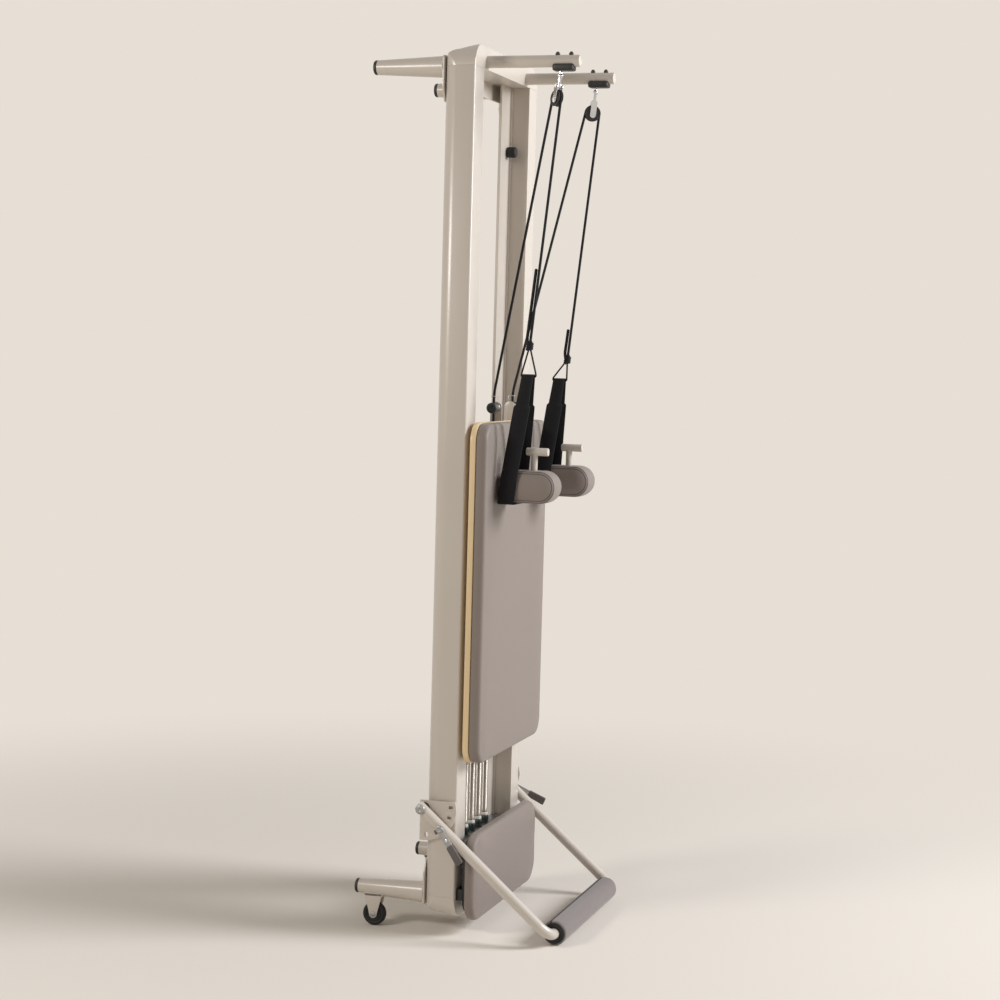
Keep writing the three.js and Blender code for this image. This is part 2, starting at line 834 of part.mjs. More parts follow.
// The footbar: one tube bent into a U, with its pivot axis along x through the origin.
function footbarGeometry() {
  const down = new THREE.Vector3(0, barDirection(barAngle).x, barDirection(barAngle).y);
  const across = new THREE.Vector3(1, 0, 0);
  const radius = barCornerRadius;
  const points = [];
  const start = down.clone().multiplyScalar(-barTubeDiameter / 2).addScaledVector(across, -barAxisX);
  points.push(start);
  const cornerLine = down.clone().multiplyScalar(barLength - radius);
  const cornerCenter = (sideways) => cornerLine.clone().addScaledVector(across, sideways);
  const leftCenter = cornerCenter(radius - barAxisX);
  points.push(...arcPoints(leftCenter, across, down, radius, Math.PI, Math.PI / 2, cornerSteps + 1));
  const rightCenter = cornerCenter(barAxisX - radius);
  points.push(...arcPoints(rightCenter, across, down, radius, Math.PI / 2, 0, cornerSteps + 1));
  points.push(down.clone().multiplyScalar(-barTubeDiameter / 2).addScaledVector(across, barAxisX));
  const tube = solidOf(tubeThrough(points, barTubeDiameter / 2, tubeSides));
  const pivotBore = boreAlong('x', pivotDiameter, -2 * barAxisX, 2 * barAxisX);
  const pinBore = boreAlong('x', latchPinDiameter, -2 * barAxisX, 2 * barAxisX);
  const pinSpot = barDirection(barAngle).multiplyScalar(slotRadius);
  pinBore.translate(0, pinSpot.x, pinSpot.y);
  return geometryOf(cut(tube, pivotBore, pinBore));
}

// The foam sleeve on the crossing tube: the bare core shows as a ring at each end, and the cover's
// open seam runs along the upper back side.
function foamGeometry() {
  const half = foamLength / 2;
  const core = foamDiameter / 2 - foamSkinThickness;
  const inner = barTubeDiameter / 2 + seatGap;
  const outer = foamDiameter / 2 / Math.cos(Math.PI / wheelSides);
  const coverEnd = half - foamSkinThickness;
  const profile = [
    [inner, -half], [core, -half], [core, -coverEnd], [outer - foamSkinThickness / 2, -coverEnd],
    [outer, -coverEnd + foamSkinThickness], [outer, coverEnd - foamSkinThickness],
    [outer - foamSkinThickness / 2, coverEnd], [core, coverEnd],
    [core, half], [inner, half], [inner, -half],
  ];
  const sleeve = solidOf(turnAlong('x', profile, wheelSides));
  const seam = block(-half, half, -seamWidth / 2, seamWidth / 2, outer - seamDepth, outer + cutOverrun);
  return geometryOf(cut(sleeve, seam.rotateX(seamTurn)));
}

// The bolt that the footbar turns on, from the outer face of its tube at x = 0 inwards.
function pivotBoltGeometry() {
  const shank = barTubeDiameter + barSideGap + bracketThickness + 2 * seatGap;
  const head = pivotHeadDiameter / 2;
  const nut = pivotNutDiameter / 2;
  const r = pivotDiameter / 2;
  const crown = pivotHeadThickness;
  const profile = [
    [0, -shank - pivotNutThickness], [nut, -shank - pivotNutThickness], [nut, -shank], [r, -shank],
    [r, seatGap], [head, seatGap], [head, crown / 2], [head * boltFaceShare, crown], [0, crown],
  ];
  return geometryOf(solidOf(turnAlong('x', profile, roundSides)));
}

// A latch strip on the outer side of the bar, with its drawn pin at the origin in line with a slot.
function latchGeometry() {
  const pinEnd = latchPinGap - barTubeDiameter - barSideGap;
  const half = latchStripWidth / 2;
  const ends = roundedOutline(latchStripLength + half, latchStripWidth, half - seatGap);
  const strip = new THREE.Shape(ends.map((point) => point.add(new THREE.Vector2(latchStripLength / 2, 0))));
  const screwTop = latchThickness + latchScrewThickness;
  const screw = rodAlong('x', latchScrewDiameter, latchThickness - seatGap, screwTop);
  screw.translate(0, latchScrewSetback, 0);
  const boss = rodAlong('x', latchBossDiameter, seatGap, latchThickness + latchBossThickness, roundSides);
  const body = join(
    extrudeAlong('x', strip, seatGap, latchThickness),
    boss,
    rodAlong('x', latchPinDiameter, pinEnd, latchThickness),
    screw,
  );
  return geometryOf(body);
}

// The dark grip that is pushed over the free end of the latch strip.
function latchGripGeometry() {
  const start = latchStripLength - latchStripWidth / 2;
  const end = start + latchGripLength;
  const grip = new THREE.Shape();
  grip.moveTo(start, -latchGripWidth / 2);
  grip.lineTo(end, -latchGripEndWidth / 2);
  grip.lineTo(end, latchGripEndWidth / 2);
  grip.lineTo(start, latchGripWidth / 2);
  const body = solidOf(extrudeAlong('x', grip, seatGap, latchGripThickness));
  const pocketHalf = latchStripWidth / 2 + seatGap;
  const pocketEnd = latchStripLength + latchStripWidth / 4 + 2 * seatGap;
  const pocketTop = latchThickness + seatGap;
  const pocket = block(-cutOverrun, pocketTop, start - cutOverrun, pocketEnd, -pocketHalf, pocketHalf);
  return geometryOf(cut(body, pocket));
}

// A rope arm: a tube closed at its front end, drilled for the two bolts of the pulley saddle.
function armGeometry() {
  const r = armDiameter / 2;
  const back = railDepth - capBackRadius - seatGap;
  const front = -armLength;
  const profile = [
    [0, front], [r - armWallThickness / 2, front], [r, front + armWallThickness / 2], [r, back],
    [r - armWallThickness, back], [r - armWallThickness, front + armWallThickness],
    [0, front + armWallThickness],
  ];
  const tube = solidOf(turnAlong('y', profile, roundSides));
  const drills = boltPlaces().map((place) => {
    const drill = boreAlong('z', saddleBoltDiameter, -armDiameter, armDiameter);
    return drill.translate(0, place, 0);
  });
  return geometryOf(cut(tube, ...drills));
}

function boltPlaces() {
  return [-1, 1].map((side) => saddleY + (side * saddleBoltSpacing) / 2);
}

// The black saddle under an arm, with its two bolts and their acorn nuts on top of the arm.
function saddleGeometry() {
  const r = armDiameter / 2;
  const outline = new THREE.Shape(roundedOutline(saddleWidth, saddleLength, saddleWidth / 4));
  const bottom = -r - saddleThickness;
  const body = extrudeAlong('z', outline, bottom, -r + saddleLapHeight).translate(0, saddleY, 0);
  const groove = boreAlong('y', armDiameter, -armLength - cutOverrun, cutOverrun, roundSides);
  const saddle = cut(solidOf(body), groove);
  const bolts = boltPlaces().map((place) => {
    const shank = saddleBoltDiameter / 2;
    const nut = nutDiameter / 2;
    const top = r + seatGap;
    const profile = [
      [0, bottom + saddleThickness / 2], [shank, bottom + saddleThickness / 2], [shank, top], [nut, top],
      [nut, top + nutHeight / 2], [nut * boltFaceShare, top + nutHeight], [0, top + nutHeight],
    ];
    return turnAlong('z', profile, smallSides).translate(0, place, 0);
  });
  return geometryOf(saddle.add(join(...bolts)));
}

// Turns a hanging piece about its rope arm's swivel: first about z, then leaning after its ropes.
function hang(geometry, turn, lean) {
  return geometry.rotateZ(turn).rotateX(lean);
}

// A pulley block that hangs from the ball of its swivel at the origin.
function pulleyBlockGeometry(turn, lean) {
  const near = sheaveWidth / 2 + cheekGap;
  const cheekHeight = cheekTopHeight + cheekBottomHeight;
  const cheek = new THREE.Shape(roundedOutline(cheekWidth, cheekHeight, cheekWidth / 2 - seatGap));
  const middle = (cheekTopHeight - cheekBottomHeight) / 2 - sheaveHangHeight;
  const cheeks = [near, -near - cheekThickness].map((from) => {
    return extrudeAlong('x', cheek, from, from + cheekThickness).translate(0, 0, middle);
  });
  const wide = near + cheekThickness;
  const bridgeBottom = sheaveDiameter / 2 + bridgeGap - sheaveHangHeight;
  const bridgeTop = cheekTopHeight - sheaveHangHeight;
  const bridge = block(-wide, wide, -cheekWidth / 4, cheekWidth / 4, bridgeBottom, bridgeTop);
  const neck = rodAlong('z', swivelDiameter, cheekTopHeight - sheaveHangHeight - cheekGap, 0);
  const pin = rodAlong('x', sheavePinDiameter, -wide - cheekGap, wide + cheekGap);
  pin.translate(0, 0, -sheaveHangHeight);
  const ball = new THREE.SphereGeometry(swivelBallDiameter / 2, smallSides, ballRings);
  const stemTop = sheaveDropHeight - saddleThickness - sheaveHangHeight - seatGap;
  const stem = rodAlong('z', swivelDiameter, 0, stemTop);
  const hanging = [...cheeks, bridge, neck, pin].map((part) => hang(part, turn, lean));
  return geometryOf(join(...hanging, ball, stem));
}

// A grooved sheave about the x axis.
function sheaveGeometry() {
  const half = sheaveWidth / 2;
  const outer = sheaveDiameter / 2;
  const groove = outer - grooveDepth;
  const floor = ropeDiameter / 2 + seatGap;
  const bore = sheavePinDiameter / 2 + boreGap;
  const profile = [
    [bore, -half], [outer, -half], [outer, -half + sheaveLipWidth], [groove, -floor],
    [groove, floor], [outer, half - sheaveLipWidth], [outer, half], [bore, half], [bore, -half],
  ];
  return geometryOf(solidOf(turnAlong('x', profile, roundSides)));
}

// The route of a rope: through the cleat's drum and guide, up over the sheave and down to the knot. The
// leads say how far round the sheave the rope still lies on it where it comes on and where it leaves.
function ropeRoute(side, pulley, strap, knotPlace) {
  const { turn, lean, cleatLead, knotLead } = inRadians(pulley);
  const steady = (x, y, z) => new THREE.Vector3(x, y, z)
    .applyAxisAngle(new THREE.Vector3(0, 0, 1), turn)
    .applyAxisAngle(new THREE.Vector3(1, 0, 0), lean);
  const center = steady(0, 0, -sheaveHangHeight).add(new THREE.Vector3(side * armX, swivelY, swivelZ));
  const from = cleatLead;
  const to = Math.PI + knotLead;
  const halfStep = (to - from) / ropeArcSteps / 2;
  const radius = (sheaveDiameter / 2 - grooveDepth + seatGap + ropeDiameter / 2) / Math.cos(halfStep);
  const overSheave = arcPoints(center, steady(0, 1, 0), steady(0, 0, 1), radius, from, to, ropeArcSteps);
  const cleatX = (side * cleatSpacing) / 2;
  const lowest = new THREE.Vector3(cleatX, -cleatDepth, carriageTop + seatGap);
  const above = new THREE.Vector3(cleatX, -cleatDepth, guideZ + guideThickness + ropeDiameter);
  const knotY = strapAxisY(strap, strap.length) - knotPlace.offset;
  const knot = new THREE.Vector3(side * restX, knotY, restBottom + strap.length + knotPlace.height);
  return { points: [lowest, above, ...overSheave, knot], knot };
}

function inRadians(angles) {
  const turnedAngles = Object.entries(angles).map(([name, value]) => [name, THREE.MathUtils.degToRad(value)]);
  return Object.fromEntries(turnedAngles);
}

// The middle of a strap's width at a height above the lower side of the shoulder rest.
function strapAxisY(strap, rise) {
  const low = padFront - strap.gap - strapWidth / 2;
  return low - (rise / strap.length) * strap.offset;
}

// One rope: the long tube, the knot, its doubled tail and the small loop that holds the strap.
function ropeGeometry(side, pulley, strap, knotPlace) {
  const { points, knot } = ropeRoute(side, pulley, strap, knotPlace);
  const run = tubeThrough(points, ropeDiameter / 2, ropeSides);
  const r = knotDiameter / 2;
  const half = knotLength / 2;
  const neck = r * boltFaceShare;
  const knotProfile = [[0, -half], [neck, -half / 2], [r, 0], [neck, half / 2], [0, half]];
  const knotBody = turnAlong('z', knotProfile, smallSides).translate(knot.x, knot.y, knot.z);
  const before = points[points.length - 2];
  const tailTop = knot.clone().lerp(before, knotPlace.tailShare);
  tailTop.y += ropeTailDiameter;
  const tail = tubeThrough([knot.clone(), tailTop], ropeTailDiameter / 2, ropeSides);
  const loopPoints = ropeLoop(knot, strap);
  const strands = loopPoints.slice(1).map((point, i) => {
    return tubeThrough([loopPoints[i], point], loopRopeDiameter / 2, loopSides);
  });
  const elbows = loopPoints.slice(1, -1).map((spot) => {
    const ball = new THREE.SphereGeometry(loopRopeDiameter / 2, loopSides, loopSides / 2);
    return ball.translate(spot.x, spot.y, spot.z);
  });
  return geometryOf(join(run, knotBody, tail, ...strands, ...elbows));
}

// The small loop from the knot down both edges of the strap and through under its upper end.
function ropeLoop(knot, strap) {
  const top = restBottom + strap.length;
  const low = top - strapThickness - loopRopeDiameter / 2 - 2 * seatGap;
  const axis = strapAxisY(strap, strap.length);
  const spread = strapTopWidth / 2 + loopSideGap;
  const corners = [[-spread, top], [-spread, low], [spread, low], [spread, top]];
  const spots = corners.map(([y, z]) => new THREE.Vector3(knot.x, axis + y, z));
  return [knot.clone(), ...spots, knot.clone()];
}

// The front view of a strap loop in (-x, z), about the rest's lower side: a ring that narrows upwards.
function strapRing(strap) {
  const inner = restWidth / 2 + strapSideGap;
  const outer = inner + strapThickness;
  const bottom = -seatGap;
  const top = strap.length;
  const shoulder = restHeight * strapShoulderShare;
  const ring = new THREE.Shape();
  ring.moveTo(-outer + strapThickness, bottom - strapThickness);
  ring.lineTo(outer - strapThickness, bottom - strapThickness);
  ring.lineTo(outer, bottom - strapThickness / 2);
  ring.lineTo(outer, shoulder);
  ring.lineTo(strapEyeRadius + strapThickness, top - strapEyeRadius);
  ring.lineTo(strapEyeRadius, top);
  ring.lineTo(-strapEyeRadius, top);
  ring.lineTo(-strapEyeRadius - strapThickness, top - strapEyeRadius);
  ring.lineTo(-outer, shoulder);
  ring.lineTo(-outer, bottom - strapThickness / 2);
  const hole = new THREE.Path();
  hole.moveTo(-inner, bottom);
  hole.lineTo(inner, bottom);
  hole.lineTo(inner, shoulder - strapThickness);
  hole.lineTo(strapEyeRadius, top - strapEyeRadius - seatGap);
  hole.lineTo(strapEyeRadius - seatGap, top - strapThickness);
  hole.lineTo(-strapEyeRadius + seatGap, top - strapThickness);
  hole.lineTo(-strapEyeRadius, top - strapEyeRadius - seatGap);
  hole.lineTo(-inner, shoulder - strapThickness);
  ring.holes.push(hole);
  return ring;
}

// The side view of a strap loop in (y, z): wide webbing up to a step, then narrower up to the rope.
function strapSideView(strap) {
  const bottom = -seatGap - strapThickness;
  const top = strap.length;
  const edge = (rise, width) => [strapAxisY(strap, rise) + width / 2, strapAxisY(strap, rise) - width / 2];
  const [topBack, topFront] = edge(top, strapTopWidth);
  const [stepBack, stepFront] = edge(strapStepHeight, strapWidth);
  const [lowBack, lowFront] = edge(bottom, strapWidth);
  const side = new THREE.Shape();
  side.moveTo(lowBack, bottom - cutOverrun);
  side.lineTo(lowFront, bottom - cutOverrun);
  side.lineTo(lowFront, bottom);
  side.lineTo(stepFront, strapStepHeight);
  side.lineTo(stepFront + strapStepDepth, strapStepHeight);
  side.lineTo(topFront, top + cutOverrun);
  side.lineTo(topBack, top + cutOverrun);
  side.lineTo(stepBack - strapStepDepth, strapStepHeight);
  side.lineTo(stepBack, strapStepHeight);
  side.lineTo(lowBack, bottom);
  return side;
}

// A strap loop round a shoulder rest: its front view crossed with its side view.
function strapGeometry(strap) {
  const front = solidOf(extrudeAlong('y', strapRing(strap), restFront, 0));
  const across = solidOf(extrudeAlong('x', strapSideView(strap), -restWidth, restWidth));
  return geometryOf(front.intersect(across));
}

// Holes of the deck and the pad for the posts of the shoulder rests.
function postHoles(from, to) {
  return [-1, 1].map((side) => {
    const hole = boreAlong('y', postDiameter, from, to, tubeSides);
    return hole.translate(side * restX, 0, restCenterHeight);
  });
}

// The wooden deck, in place on the machine.
function deckGeometry() {
  const outline = roundedOutline(carriageWidth, carriageLength, carriageCornerRadius, cornerSteps + 1);
  const board = extrudeAlong('y', new THREE.Shape(outline), deckFront, deckBack);
  board.translate(0, 0, carriageHeight + carriageLength / 2);
  return geometryOf(cut(solidOf(board), ...postHoles(deckFront - cutOverrun, deckBack + cutOverrun)));
}

// The layers of a flat upholstered pad: drawn-in sides, a rolled edge and a low crown.
function padLayers(thickness, crown, crownWidth) {
  const softness = padEdgeRadius;
  const layers = [[softness / 3, 0], [0, thickness / 3], [0, thickness - softness]];
  layers.push([softness / 3, thickness - softness / 3], [softness, thickness]);
  for (let i = 1; i <= crownSteps; i += 1) {
    const inset = softness + (crownWidth * i) / crownSteps;
    layers.push([inset, thickness + crown * Math.sin((i / crownSteps) * (Math.PI / 2))]);
  }
  return layers;
}

// Lays a cushion down so that its layers rise towards -Y.
function layFront(geometry) {
  return geometry.rotateX(Math.PI / 2);
}

function padGeometry() {
  const layers = padLayers(padThickness, padCrownHeight, padCrownWidth);
  const soft = cushion(carriageWidth, carriageLength, carriageCornerRadius, layers, cornerSteps + 1);
  layFront(soft).translate(0, padBack, carriageHeight + carriageLength / 2);
  return geometryOf(cut(solidOf(soft), ...postHoles(padFront - cutOverrun, padBack + cutOverrun)));
}

// The steel frame under the deck: two side plates with stub axles, cross bars and the wide end plates,
// the lower one for the springs and the upper one for the stops of the head end.
function carriageFrameGeometry() {
  const outer = sidePlateX;
  const inner = outer - sidePlateThickness;
  const top = deckBack + seatGap;
  const bottom = top + sidePlateDepth;
  const start = carriageHeight + endPlateThickness;
  const end = start + sidePlateLength;
  const plates = [[-outer, -inner], [inner, outer]].map(([a, b]) => {
    return block(a, b, top, bottom, start - seatGap, end);
  });
  const bars = rollerPlaces().map((place, i) => {
    const mid = place + (i === 0 ? rollerInset : -rollerInset);
    const half = crossBarHeight / 2;
    return block(-outer, outer, top, top + crossBarThickness, mid - half, mid + half);
  });
  const endPlates = [carriageHeight, end - seatGap].map((from) => {
    const to = from === carriageHeight ? start : headPlateTop;
    return block(-endPlateX, endPlateX, top, bottom, from, to);
  });
  const axles = rollerPlaces().flatMap((place) => [-1, 1].map((side) => axleAt(side, inner, place)));
  return geometryOf(join(...plates, ...bars, ...endPlates, ...axles));
}

// The stub axle of one roller, with the shoulder and the head that hold the roller.
function axleAt(side, start, place) {
  const shoulder = sidePlateX + rollerSideGap - boreGap;
  const end = sidePlateX + rollerSideGap + rollerWidth + boreGap;
  const r = rollerAxleDiameter / 2;
  const head = rollerHeadDiameter / 2;
  const profile = [
    [0, start], [head, start], [head, shoulder], [r, shoulder], [r, end], [head, end],
    [head, end + rollerHeadThickness], [0, end + rollerHeadThickness],
  ].map(([radius, x]) => [radius, side * x]);
  return turnAlong('x', profile, smallSides).translate(0, rollerY, place);
}

function rollerPlaces() {
  return [carriageHeight + rollerInset, carriageTop - rollerInset];
}

function rollerX() {
  return sidePlateX + rollerSideGap + rollerWidth / 2;
}

// A roller of the carriage about the x axis.
function rollerGeometry() {
  const half = rollerWidth / 2;
  const outer = rollerDiameter / 2;
  const bore = rollerAxleDiameter / 2 + boreGap;
  const bevel = wheelBevelWidth / 2;
  const profile = [
    [bore, -half], [outer - bevel, -half], [outer, -half + bevel], [outer, half - bevel],
    [outer - bevel, half], [bore, half], [bore, -half],
  ];
  return geometryOf(solidOf(turnAlong('x', profile, tubeSides)));
}

// The bent post of a shoulder rest, about its hole in the deck, with the flange at the back.
function postGeometry() {
  const flangeBack = deckBack + seatGap;
  const r = postDiameter / 2;
  const flange = rodAlong('y', flangeDiameter, flangeBack, flangeBack + flangeThickness, roundSides);
  const stem = rodAlong('y', postDiameter, postRiserY - r, flangeBack + flangeThickness / 2, tubeSides);
  const riser = rodAlong('z', postDiameter, -r, postHeight, tubeSides).translate(0, postRiserY, 0);
  const pegY = restFront + pegInset;
  const peg = rodAlong('y', pegDiameter, pegY - pegLength / 2, pegY + pegLength / 2, tubeSides);
  peg.translate(0, 0, postHeight);
  return join(flange, stem, riser, peg);
}

// A shoulder rest lying on its side: a stadium block, crowned on both faces, hollowed for its post.
function restGeometry() {
  const half = restWidth / 2;
  const edge = restEdgeWidth;
  const crown = restCrownHeight;
  const layers = [
    [restHeight / 3, -half], [edge, -half + crown / 3], [crown / 3, -half + crown], [0, -half + edge],
    [0, half - edge], [crown / 3, half - crown], [edge, half - crown / 3], [restHeight / 3, half],
  ];
  const soft = cushion(restDepth, restHeight, restHeight / 2 - seatGap, layers, cornerSteps + 1);
  soft.rotateZ(Math.PI / 2).rotateY(Math.PI / 2);
  soft.translate(0, (restBack + restFront) / 2, 0);
  const r = postDiameter / 2 + 2 * boreGap;
  const stem = boreAlong('y', postDiameter, postRiserY - r, restBack + cutOverrun, tubeSides);
  const riser = boreAlong('z', postDiameter, -r, restHeight, tubeSides).translate(0, postRiserY, 0);
  return geometryOf(cut(solidOf(soft), stem, riser));
}

// The ear of a cleat in (y, z): it stands on the upper end plate and its round end holds the drum.
function cleatEarOutline() {
  const behindDeck = deckBack + seatGap;
  const back = cleatEarRadius - cleatDepth;
  const foot = headPlateTop + seatGap;
  const ear = new THREE.Shape();
  ear.moveTo(behindDeck, foot);
  ear.lineTo(back, foot);
  ear.lineTo(back, cleatAxisZ);
  ear.absarc(-cleatDepth, cleatAxisZ, cleatEarRadius, 0, Math.PI);
  ear.lineTo(-cleatDepth - cleatEarRadius, carriageTop + seatGap);
  ear.lineTo(behindDeck, carriageTop + seatGap);
  return ear;
}

// The drum of a cleat about the x axis, with the knob on its outer end.
function cleatDrum(start) {
  const core = cleatDrumDiameter / 2;
  const knob = cleatKnobDiameter / 2;
  const end = cleatKnobOffset + cleatKnobLength;
  return turnAlong('x', [
    [0, start], [core, start], [core, cleatKnobOffset], [knob, cleatKnobOffset],
    [knob, end - cleatThickness], [knob * boltFaceShare, end], [0, end],
  ], roundSides);
}

// A rope cleat about its rope's line: a bent bracket with its flange on the upper end plate of the
// carriage, the drum with its knob, and the guide above that holds the rope over the drum.
function cleatGeometry() {
  const earIn = -cleatEarOffset - cleatThickness;
  const earOut = -cleatEarOffset;
  const foot = headPlateTop + seatGap;
  const back = cleatEarRadius - cleatDepth;
  const flange = block(earIn, earIn + cleatFootWidth, deckBack + seatGap, back, foot, foot + cleatThickness);
  const half = guideWidth / 2;
  const guideTop = guideZ + guideThickness;
  const neck = block(earIn, earOut, -cleatDepth - half / 2, -cleatDepth + half / 2, cleatAxisZ, guideTop);
  const guide = block(earIn, half, -cleatDepth - half, -cleatDepth + half, guideZ, guideTop);
  const drum = cleatDrum(earIn + cleatThickness / 2).translate(0, -cleatDepth, cleatAxisZ);
  const body = join(extrudeAlong('x', cleatEarOutline(), earIn, earOut), flange, neck, guide, drum);
  const hole = boreAlong('z', ropeDiameter, carriageTop, guideZ + cutOverrun).translate(0, -cleatDepth, 0);
  return geometryOf(cut(body, hole));
}

// A rubber stop that stands on the ledge.
function stopGeometry() {
  const r = stopDiameter / 2;
  const bevel = wheelBevelWidth / 2;
  const face = ledgeDepth - seatGap;
  const tip = face - stopLength;
  const profile = [[0, tip], [r - bevel, tip], [r, tip + bevel], [r, face], [0, face]];
  return geometryOf(solidOf(turnAlong('y', profile, tubeSides)));
}

// The spring bar: an angle section across both ledges, with an open slot for each spring's hook.
function springBarGeometry() {
  const half = railInner - ribWidth - seatGap;
  const back = ledgeDepth - seatGap;
  const front = back - springBarDepth;
  const section = new THREE.Shape();
  section.moveTo(front, springBarHeight);
  section.lineTo(back - springBarThickness, springBarHeight);
  section.lineTo(back - springBarThickness, springBarHeight - springBarLipHeight);
  section.lineTo(back, springBarHeight - springBarLipHeight);
  section.lineTo(back, springBarHeight + springBarThickness);
  section.lineTo(front, springBarHeight + springBarThickness);
  const bar = solidOf(extrudeAlong('x', section, -half, half));
  const slots = springPlaces().map((x) => {
    const r = hookDiameter / 2 + boreGap;
    const z0 = springBarHeight - cutOverrun;
    const z1 = springBarHeight + springBarThickness + cutOverrun;
    const slot = new THREE.Shape();
    slot.moveTo(-r, front - cutOverrun);
    slot.lineTo(r, front - cutOverrun);
    slot.lineTo(r, springDepth);
    slot.absarc(0, springDepth, r, 0, Math.PI);
    return extrudeAlong('z', slot, z0, z1).translate(x, 0, 0);
  });
  return geometryOf(cut(bar, ...slots));
}

function springPlaces() {
  return Array.from({ length: springCount }, (_, i) => (i - (springCount - 1) / 2) * springSpacing);
}

// The centre line of a spring: straight ends one wire long, and the turns of the coil between them.
function coilRoute(bottom, top) {
  const r = (coilDiameter - wireDiameter) / 2;
  const low = bottom + wireDiameter + coilLeadHeight;
  const high = top - wireDiameter - coilLeadHeight;
  const total = coilTurns * coilSteps;
  const points = [new THREE.Vector3(r, 0, bottom), new THREE.Vector3(r, 0, bottom + wireDiameter)];
  for (let i = 0; i <= total; i += 1) {
    const angle = (2 * Math.PI * i) / coilSteps;
    const z = low + ((high - low) * i) / total;
    points.push(new THREE.Vector3(r * Math.cos(angle), r * Math.sin(angle), z));
  }
  points.push(new THREE.Vector3(r, 0, top - wireDiameter), new THREE.Vector3(r, 0, top));
  return points;
}

// The least gap between stretches of a coil that are at least half a turn apart.
function leastGap(points) {
  let least = Infinity;
  const apart = coilSteps / 2;
  for (let i = 0; i < points.length; i += 1) {
    for (let k = i + apart; k < points.length; k += 1) {
      least = Math.min(least, points[i].distanceTo(points[k]));
    }
  }
  return least - wireDiameter;
}

// The outline of the star knob.
function starOutline() {
  const count = knobLobes * lobeSteps;
  const points = Array.from({ length: count }, (_, i) => {
    const angle = (2 * Math.PI * i) / count;
    const radius = knobDiameter / 2 - knobLobeDepth * (1 - Math.cos(knobLobes * angle)) / 2;
    return new THREE.Vector2(radius * Math.cos(angle), radius * Math.sin(angle));
  });
  return new THREE.Shape(points);
}

// A spring with its moulded star knob and the hook that hangs in the spring bar.
function springGeometry() {
  const seat = springBarHeight + springBarThickness + seatGap;
  const knobTop = seat + knobThickness;
  const postTop = knobTop + knobPostHeight;
  const under = springBarHeight - seatGap;
  const ball = hookBallDiameter / 2;
  const r = hookDiameter / 2;
  const hook = [
    [0, under - hookBallThickness], [ball / 2, under - hookBallThickness],
    [ball, under - hookBallThickness / 2], [ball, under], [r, under],
    [r, seat + knobThickness / 2], [0, seat + knobThickness / 2],
  ];
  const post = [
    [0, knobTop - seatGap], [coilDiameter / 2, knobTop - seatGap], [coilDiameter / 2, knobTop + wireDiameter],
    [coilDiameter / 3, postTop], [0, postTop],
  ];
  const route = coilRoute(knobTop + wireDiameter / 2, carriageHeight - seatGap);
  console.log(`least gap between the turns of a spring: ${leastGap(route).toFixed(2)} mm`);
  const coil = tubeThrough(route, wireDiameter / 2, coilSides);
  const star = extrudeAlong('z', starOutline(), seat, knobTop);
  return geometryOf(join(star, turnAlong('z', hook, smallSides), turnAlong('z', post, tubeSides), coil));
}

// The board behind the platform's pad, with the two blocks that stand it off the rails.
function platformBoardGeometry() {
  const width = platformWidth - 2 * platformBoardInset;
  const height = platformLength - 2 * platformBoardInset;
  const front = -platformGap + seatGap;
  const corner = platformCornerRadius - platformBoardInset;
  const outline = new THREE.Shape(roundedOutline(width, height, corner));
  const board = extrudeAlong('y', outline, front, front + platformBoardThickness);
  board.translate(0, 0, platformLength / 2 - platformDropHeight);
  const blockX = halfFrame - railWidth / 2;
  const blocks = [-1, 1].map((side) => block(
    side * blockX - platformBlockWidth / 2, side * blockX + platformBlockWidth / 2,
    front + platformBoardThickness - seatGap, -seatGap,
    platformBlockHeight, platformBlockHeight + platformBlockLength));
  return geometryOf(join(board, ...blocks));
}

function platformPadGeometry() {
  const layers = padLayers(platformThickness - platformCrownHeight, platformCrownHeight, platformCrownWidth);
  const soft = cushion(platformWidth, platformLength, platformCornerRadius, layers, cornerSteps + 1);
  layFront(soft).translate(0, -platformGap, platformLength / 2 - platformDropHeight);
  return geometryOf(solidOf(soft));
}

// The assembly
const machine = new THREE.Group();
machine.position.set(0, (frontReach - backReach) / 2, frameLiftHeight);

function add(name, geometry, material, position = [0, 0, 0], rotation = [0, 0, 0]) {
  const mesh = new THREE.Mesh(geometry, material);
  mesh.name = name;
  mesh.position.set(...position);
  mesh.rotation.set(...rotation);
  machine.add(mesh);
}

// Adds a +X piece and its mirrored twin.
function addPair(name, geometry, material, position) {
  const [x, y, z] = position;
  add(`${name}_right`, geometry, material(), [x, y, z]);
  add(`${name}_left`, mirrored(geometry), material(), [-x, y, z]);
}

function addFrame() {
  addPair('rail', railGeometry(), creamPaint, [0, 0, 0]);
  add('head_end_cap', headCapGeometry(), creamPaint(), [0, 0, frameLength - capHeight]);
  add('foot_end_cap', footCapGeometry(), creamPaint(), [0, 0, capHeight]);
  const headZ = frameLength - legSetback;
  const plateY = railDepth + seatGap;
  addPair('leg_head', geometryOf(legSolid()), creamPaint, [legX, plateY, headZ]);
  addPair('leg_foot', footLegGeometry(), creamPaint, [legX, plateY, legSetback]);
  addPair('leg_cap_head', legCapGeometry(), blackPlastic, [legX, legBackEnd, headZ]);
  addPair('leg_cap_foot', legCapGeometry(), blackPlastic, [legX, legBackEnd, legSetback]);
  const wheelZ = wheelRadius - frameLiftHeight;
  addPair('transport_wheel', transportWheelGeometry(), blackRubber, [legX, wheelY, wheelZ]);
}

